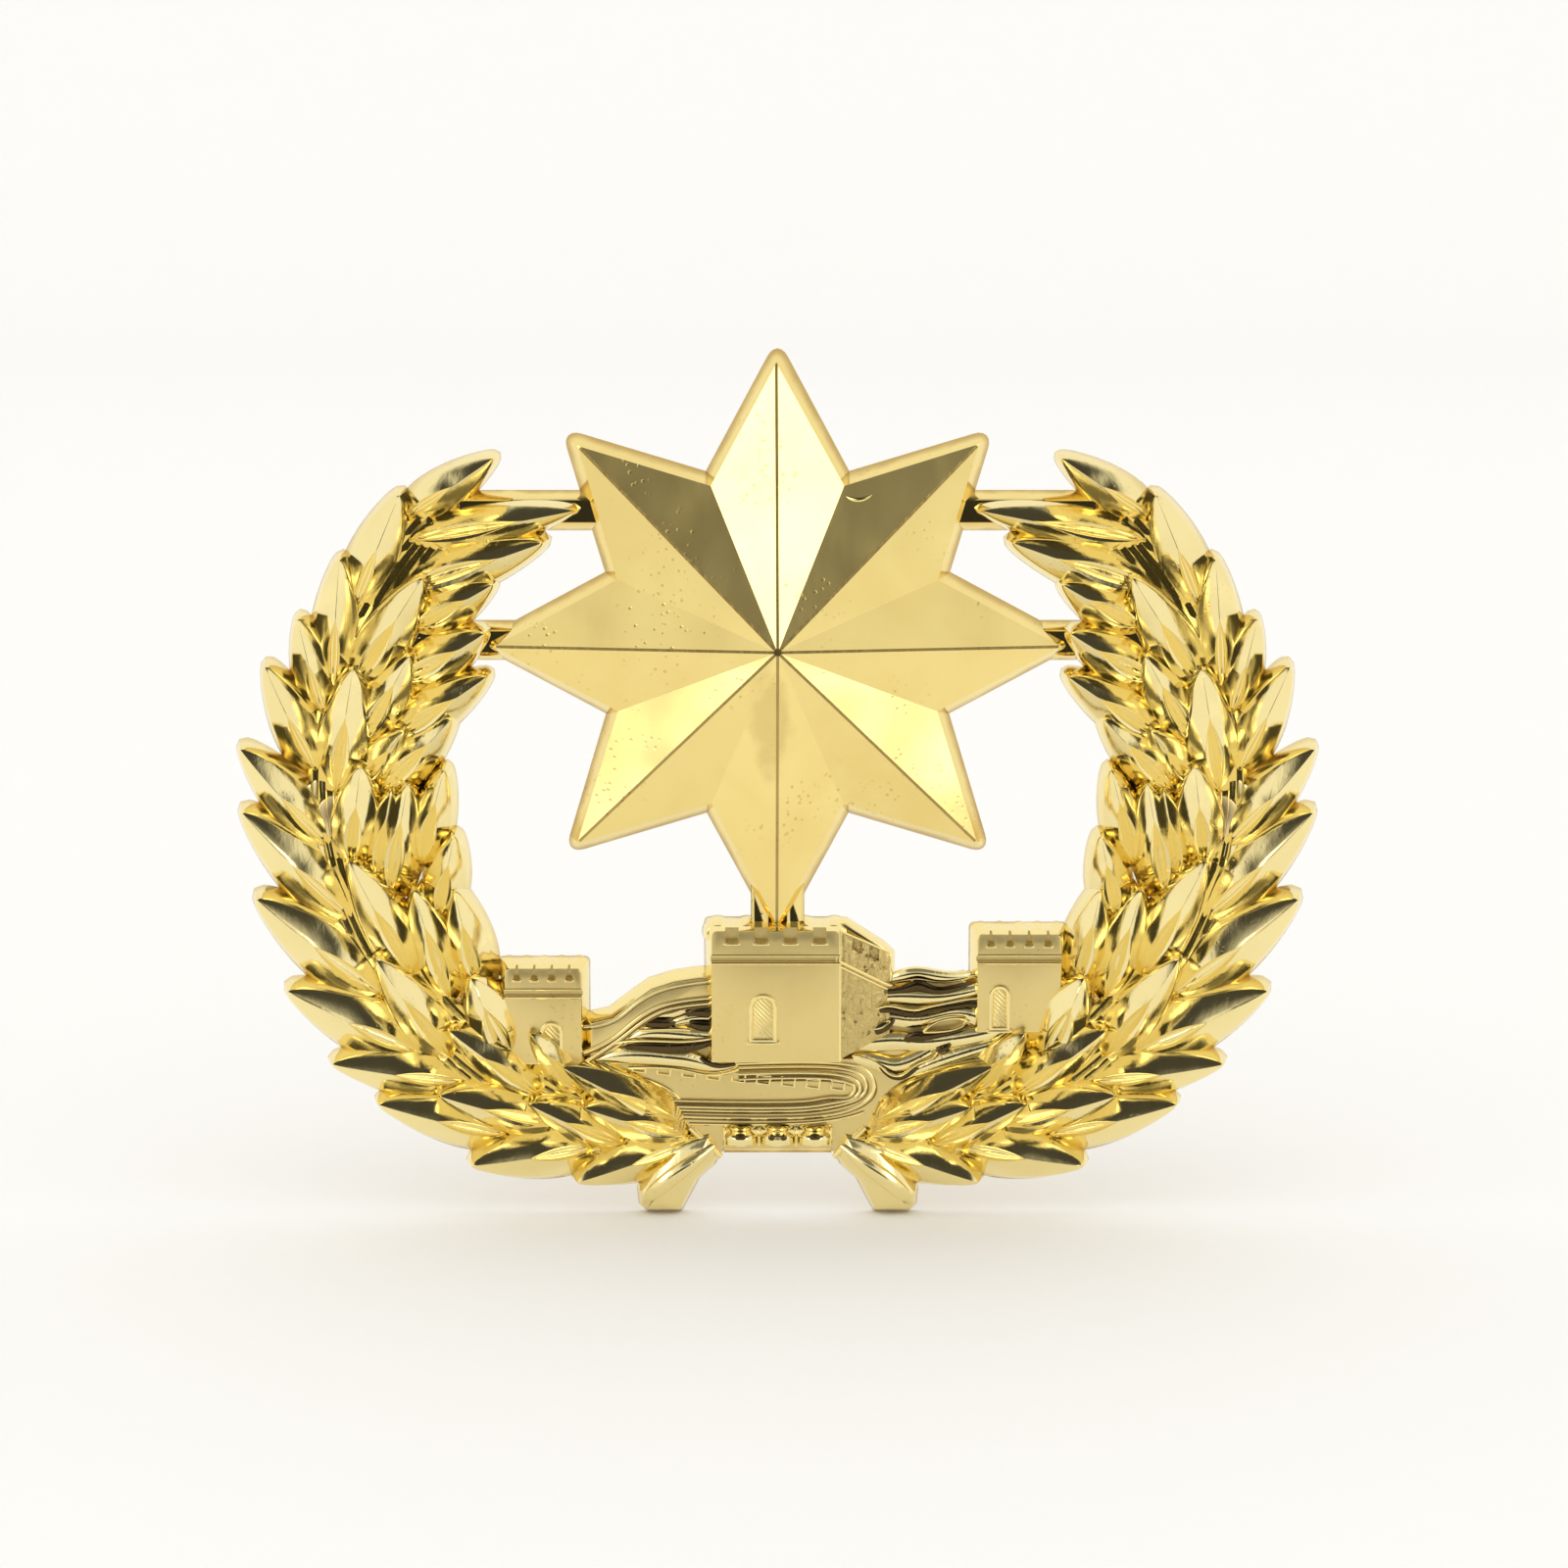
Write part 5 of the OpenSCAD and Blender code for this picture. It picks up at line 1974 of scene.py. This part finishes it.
@dataclass(frozen=True)
class Fixing:
    """One screw stud with its washer and thumb nut behind the badge.

    Attributes:
        side: the branch that it holds.
        shank: radius of the plain shank and of the thread's crests.
        root: radius of the thread's roots.
        pitch: pitch of the thread.
    """

    side: Side
    shank: float = 1.5
    root: float = 1.19
    pitch: float = 0.5
    knurls: int = 36
    spigot: float = 1.25
    shank_end: float = -2.2
    washer_bore: float = 1.7
    nut_bore: float = 1.56
    nut_boss: float = 2.6

    def build(self) -> list[Piece]:
        """Builds the stud, the washer and the nut."""
        return [self._stud(), self._washer(), self._nut()]

    def _box(self, part: str) -> Box:
        """Gives the box of the stud, the washer or the nut on this side."""
        return node_box(f"{self.side.word}_{part}")

    def _install(self, part: str, blanks: Sequence[Blank], finish: MetalFinish, slot: Slot,
        body: Body) -> Piece:
        """Welds, paints and installs the stud, the washer or the nut."""
        node = f"{self.side.word}_{part}"
        return install(weld(node.capitalize(), blanks).paint(finish), node, slot, body)

    def _axis(self) -> Point:
        """Gives the stud's place."""
        low, high = self._box("washer")
        return (low.x + high.x) / 2, (low.y + high.y) / 2

    def _stud(self) -> Piece:
        """Models the stud: spigot, plain shank, helical thread and blunt end.

        Returns:
            The stud, in place.
        """
        low, high = self._box("stud")
        x, y = self._axis()
        spigot = Blank.round("Stud", self.spigot, 0.0, high.z, (x, y)).soften(0.06)
        shank = Blank.round("Shank", self.shank, self.shank_end - 0.1, 0.0, (x, y)).soften(0.08)
        thread = self._thread(x, y, self.shank_end + 0.05, low.z + 0.02)
        return self._install("stud", [spigot, shank, thread], TURNED_BRASS, Slot.STUD, Body.BADGE)

    def _thread(self, x: float, y: float, start: float, end: float) -> Blank:
        """Models the thread as a helical surface, from its start to its end.

        Args:
            x: the axis.
            y: the axis.
            start: height at which it starts.
            end: height at which it ends.

        Returns:
            The thread, closed at both ends.
        """
        sides = 36
        profile = ((0.0, 1.0), (0.1, 1.0), (0.45, 0.0), (0.6, 0.0))
        turns = int((start - end) / self.pitch)
        rows = turns * len(profile)

        def place(row: int, column: int) -> Corner:
            """Gives a corner of the helical surface."""
            lap, step = divmod(row, len(profile))
            share, crest = profile[step]
            angle = 2 * math.pi * column / sides
            drop = (lap + share + column / sides) * self.pitch
            height = max(start - drop, end)
            fade = min(1.0, max(0.0, (height - end) / (1.2 * self.pitch)))
            radius = self.root + (self.shank - self.root) * crest * fade
            return x + radius * math.cos(angle), y - radius * math.sin(angle), height

        thread = Blank.grid("Thread", rows, sides, place)
        with thread.open():
            bpy.ops.mesh.select_all(action="SELECT")
            bpy.ops.mesh.remove_doubles(threshold=DOUBLES)
            thread.cap()
            bpy.ops.mesh.select_all(action="SELECT")
            bpy.ops.mesh.normals_make_consistent(inside=False)
        return thread

    def _ring(self, name: str, bore: float, outer: float, low: float, high: float, sides: int) -> Blank:
        """Models a flat ring from a cylinder with a hole bridged through it.

        Args:
            name: the ring's name.
            bore: radius of its hole.
            outer: its outer radius.
            low: height of its foot.
            high: height of its top.
            sides: number of sides.

        Returns:
            The ring.
        """
        x, y = self._axis()
        ring = Blank.round(name, outer, low, high, (x, y), sides)
        with ring.open():
            ring.pick_faces(lambda centre, normal: abs(normal.z) > 0.9)
            bpy.ops.mesh.inset(thickness=outer - bore, depth=0.0)
            ring.pick_faces(lambda centre, normal: abs(normal.z) > 0.9 and (centre.xy - Vector((x,
                y))).length < 0.1)
            bpy.ops.mesh.bridge_edge_loops()
        return ring

    def _washer(self) -> Piece:
        """Models the washer with its rolled edge.

        Returns:
            The washer, in place.
        """
        low, high = self._box("washer")
        ring = self._ring("Washer", self.washer_bore, (high.x - low.x) / 2, low.z, high.z, 96)
        ring.soften(0.1, 3)
        return self._install("washer", [ring], WASHER_STEEL, Slot.WASHER, Body(f"{self.side.word}_clamp"))

    def _nut(self) -> Piece:
        """Models the thumb nut: knurled rim, chamfers and a raised boss.

        Returns:
            The nut, in place.
        """
        low, high = self._box("thumb_nut")
        x, y = self._axis()
        outer = (high.x - low.x) / 2
        centre = Vector((x, y))
        rim_low = low.z + 0.7
        grip = self._ring("Thumb nut", self.nut_bore, outer, rim_low, high.z, 2 * self.knurls)
        with grip.open():
            count = 2 * self.knurls
            grip.pick_corners(lambda co: (co.xy - centre).length > outer - 0.05
                and round((math.atan2(co.y - y, co.x - x) / (2 * math.pi) % 1.0) * count) % 2 == 1)
            share = (outer - 0.2) / outer
            bpy.ops.transform.resize(value=(share, share, 1.0), center_override=(x, y, 0))
            for height in (rim_low, high.z):
                grip.pick_edges(lambda a, b: abs(a.z - height) < 0.01 and abs(b.z - height) < 0.01
                    and (a.xy - centre).length > outer - 0.3 and (b.xy - centre).length > outer - 0.3)
                bpy.ops.mesh.bevel(offset=0.22, segments=2, affect="EDGES")
        boss = self._ring("Nut boss", self.nut_bore, self.nut_boss, low.z, rim_low + 0.2, 64).soften(0.12, 3)
        return self._install("thumb_nut", [grip, boss], NUT_BRASS, Slot.NUT, Body(f"{self.side.word}_nut"))


# ---- studio


@dataclass(frozen=True)
class Studio:
    """The floor, the soft surroundings and the camera."""

    floor_level: float = -22.85
    front_edge: float = -85.0
    target: Corner = (0.36, 0.0, 1.67)
    distance: float = 244.0
    elevation: float = 9.0
    lens: float = 100.0
    even_light: float = 1.15
    gaps: tuple[tuple[Corner, float, float, float], ...] = (
        ((0.0, -0.83, 0.56), 13, 17.5, 0.78), ((0.0, -0.988, -0.156), 19, 27, 0.97))

    def build(self) -> None:
        """Builds the studio."""
        self._sweep()
        self._surroundings()
        self._camera()

    def _sweep(self) -> None:
        """Lays a pale floor that curves up behind the badge."""
        clear_bench()
        bpy.ops.mesh.primitive_plane_add(size=1.2, location=(0, 0, 0))
        sweep = Blank(bpy.context.active_object, "Floor")
        sweep.obj.data.transform(Matrix.Translation((0, self.front_edge * MM + 0.6, 0)))
        with sweep.open():
            sweep.pick_edges(lambda a, b: a.y > 0.5 and b.y > 0.5)
            bpy.ops.mesh.extrude_region_move(TRANSFORM_OT_translate={"value": (0, 0, 0.8)})
            sweep.pick_edges(lambda a, b: a.y > 0.5 and b.y > 0.5 and abs(a.z) < 0.01 and abs(b.z) < 0.01)
            bpy.ops.mesh.bevel(offset=0.3, segments=16, affect="EDGES")
        sweep.smooth()
        sweep.obj.data.transform(Matrix.Translation((0, 0, self.floor_level * MM)))
        paper = bpy.data.materials.new("Pale paper")
        paper.use_nodes = True
        nodes = ShaderNodes(paper.node_tree)
        shader = paper.node_tree.nodes["Principled BSDF"]
        place = nodes.add("ShaderNodeTexCoord").outputs["Object"]
        fibre = nodes.noise(place, 900.0, 4.0)
        nodes.join(nodes.blend(nodes.math("MULTIPLY", fibre, 0.15), (0.90, 0.90, 0.89, 1.0),
            (0.84, 0.84, 0.83, 1.0)), shader.inputs["Base Color"])
        shader.inputs["Roughness"].default_value = 0.75
        sweep.obj.data.materials.append(paper)

    def _surroundings(self) -> None:
        """Sets soft light all round, with two bright panels and the dark gaps."""
        world = bpy.context.scene.world or bpy.data.worlds.new("Studio")
        bpy.context.scene.world = world
        world.use_nodes = True
        nodes = ShaderNodes(world.node_tree)
        nodes.tree.nodes.clear()
        ray = nodes.add("ShaderNodeTexCoord").outputs["Generated"]
        split = nodes.add("ShaderNodeSeparateXYZ")
        nodes.join(ray, split.inputs[0])
        ahead = nodes.math("MULTIPLY", split.outputs["Y"], -1.0)
        above = nodes.span(split.outputs["Z"], 0.02, 0.32, 1.05, 0.05)
        behind = nodes.span(split.outputs["Y"], 0.0, 0.25)
        beside = nodes.span(nodes.math("ABSOLUTE", split.outputs["X"]), 0.6, 0.76)
        around = nodes.math("MAXIMUM", nodes.math("MAXIMUM", above, behind), beside)
        front = nodes.span(ahead, 0.5, 0.78)
        level = nodes.math("ADD", nodes.math("MULTIPLY", around, nodes.math("SUBTRACT", 1.0, front)),
            nodes.math("MULTIPLY", front, 0.9))

        def patch(direction: Sequence[float], inner: float, outer: float) -> object:
            """Gives a soft round patch of the surroundings, 1 in its middle."""
            dot = nodes.add("ShaderNodeVectorMath", operation="DOT_PRODUCT")
            nodes.join(ray, dot.inputs[0])
            dot.inputs[1].default_value = Vector(direction).normalized()
            return nodes.span(dot.outputs["Value"], math.cos(math.radians(outer)),
                math.cos(math.radians(inner)))

        for x in (-0.56, 0.56):
            level = nodes.math("ADD", level, nodes.math("MULTIPLY", patch((x, -0.79, 0.25), 7, 13), 2.0))
        for direction, inner, outer, share in self.gaps:
            shade = nodes.math("MULTIPLY", patch(direction, inner, outer), share)
            level = nodes.math("MULTIPLY", level, nodes.math("SUBTRACT", 1.0, shade))
        path = nodes.add("ShaderNodeLightPath")
        mirrored = path.outputs["Is Glossy Ray"]
        even = nodes.math("MULTIPLY", nodes.math("SUBTRACT", 1.0, mirrored), self.even_light)
        shown = nodes.math("ADD", nodes.math("MULTIPLY", level, mirrored), even)
        background = nodes.add("ShaderNodeBackground")
        background.inputs["Color"].default_value = (1.0, 0.985, 0.96, 1.0)
        nodes.join(shown, background.inputs["Strength"])
        output = nodes.add("ShaderNodeOutputWorld")
        nodes.join(background.outputs[0], output.inputs["Surface"])
        bpy.context.scene.view_settings.view_transform = "Standard"

    def _camera(self) -> None:
        """Places the camera in front and a little above."""
        data = bpy.data.cameras.new("Camera")
        data.lens = self.lens
        data.sensor_width = 36.0
        camera = bpy.data.objects.new("Camera", data)
        bpy.context.collection.objects.link(camera)
        rise = math.radians(self.elevation)
        away = Vector((0.0, -math.cos(rise), math.sin(rise)))
        camera.location = (Vector(self.target) + away * self.distance) * MM
        camera.rotation_mode = "QUATERNION"
        camera.rotation_quaternion = (-away).to_track_quat("-Z", "Y")
        data.clip_start = 0.01
        data.clip_end = 10.0
        bpy.context.scene.camera = camera


@dataclass
class CapBadge:
    """The whole badge, in the order in which it is built."""

    assemblies: list = field(default_factory=lambda: [
        FacetedStar(), CrossBars(), Wreath(), GATE, LEFT_TOWER, RIGHT_TOWER, LeftRampart(),
        LEFT_ROCKS, RIGHT_ROCKS, FrontRampart(), TieBand(), Fixing(Side.LEFT), Fixing(Side.RIGHT)])

    def build(self) -> list[Piece]:
        """Builds every assembly.

        Returns:
            All pieces, in place.
        """
        pieces: list[Piece] = []
        for assembly in self.assemblies:
            made = assembly.build()
            log.info("%s: %s", type(assembly).__name__, ", ".join(piece.name for piece in made))
            pieces += made
        return pieces


def main() -> None:
    """Loads the frame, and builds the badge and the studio."""
    logging.basicConfig(level=logging.INFO, format="%(message)s")
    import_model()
    clear_bench()
    pieces = CapBadge().build()
    Studio().build()
    log.info("%d pieces, %d faces", len(pieces), sum(len(piece.data.polygons) for piece in pieces))


if __name__ == "__main__":
    main()
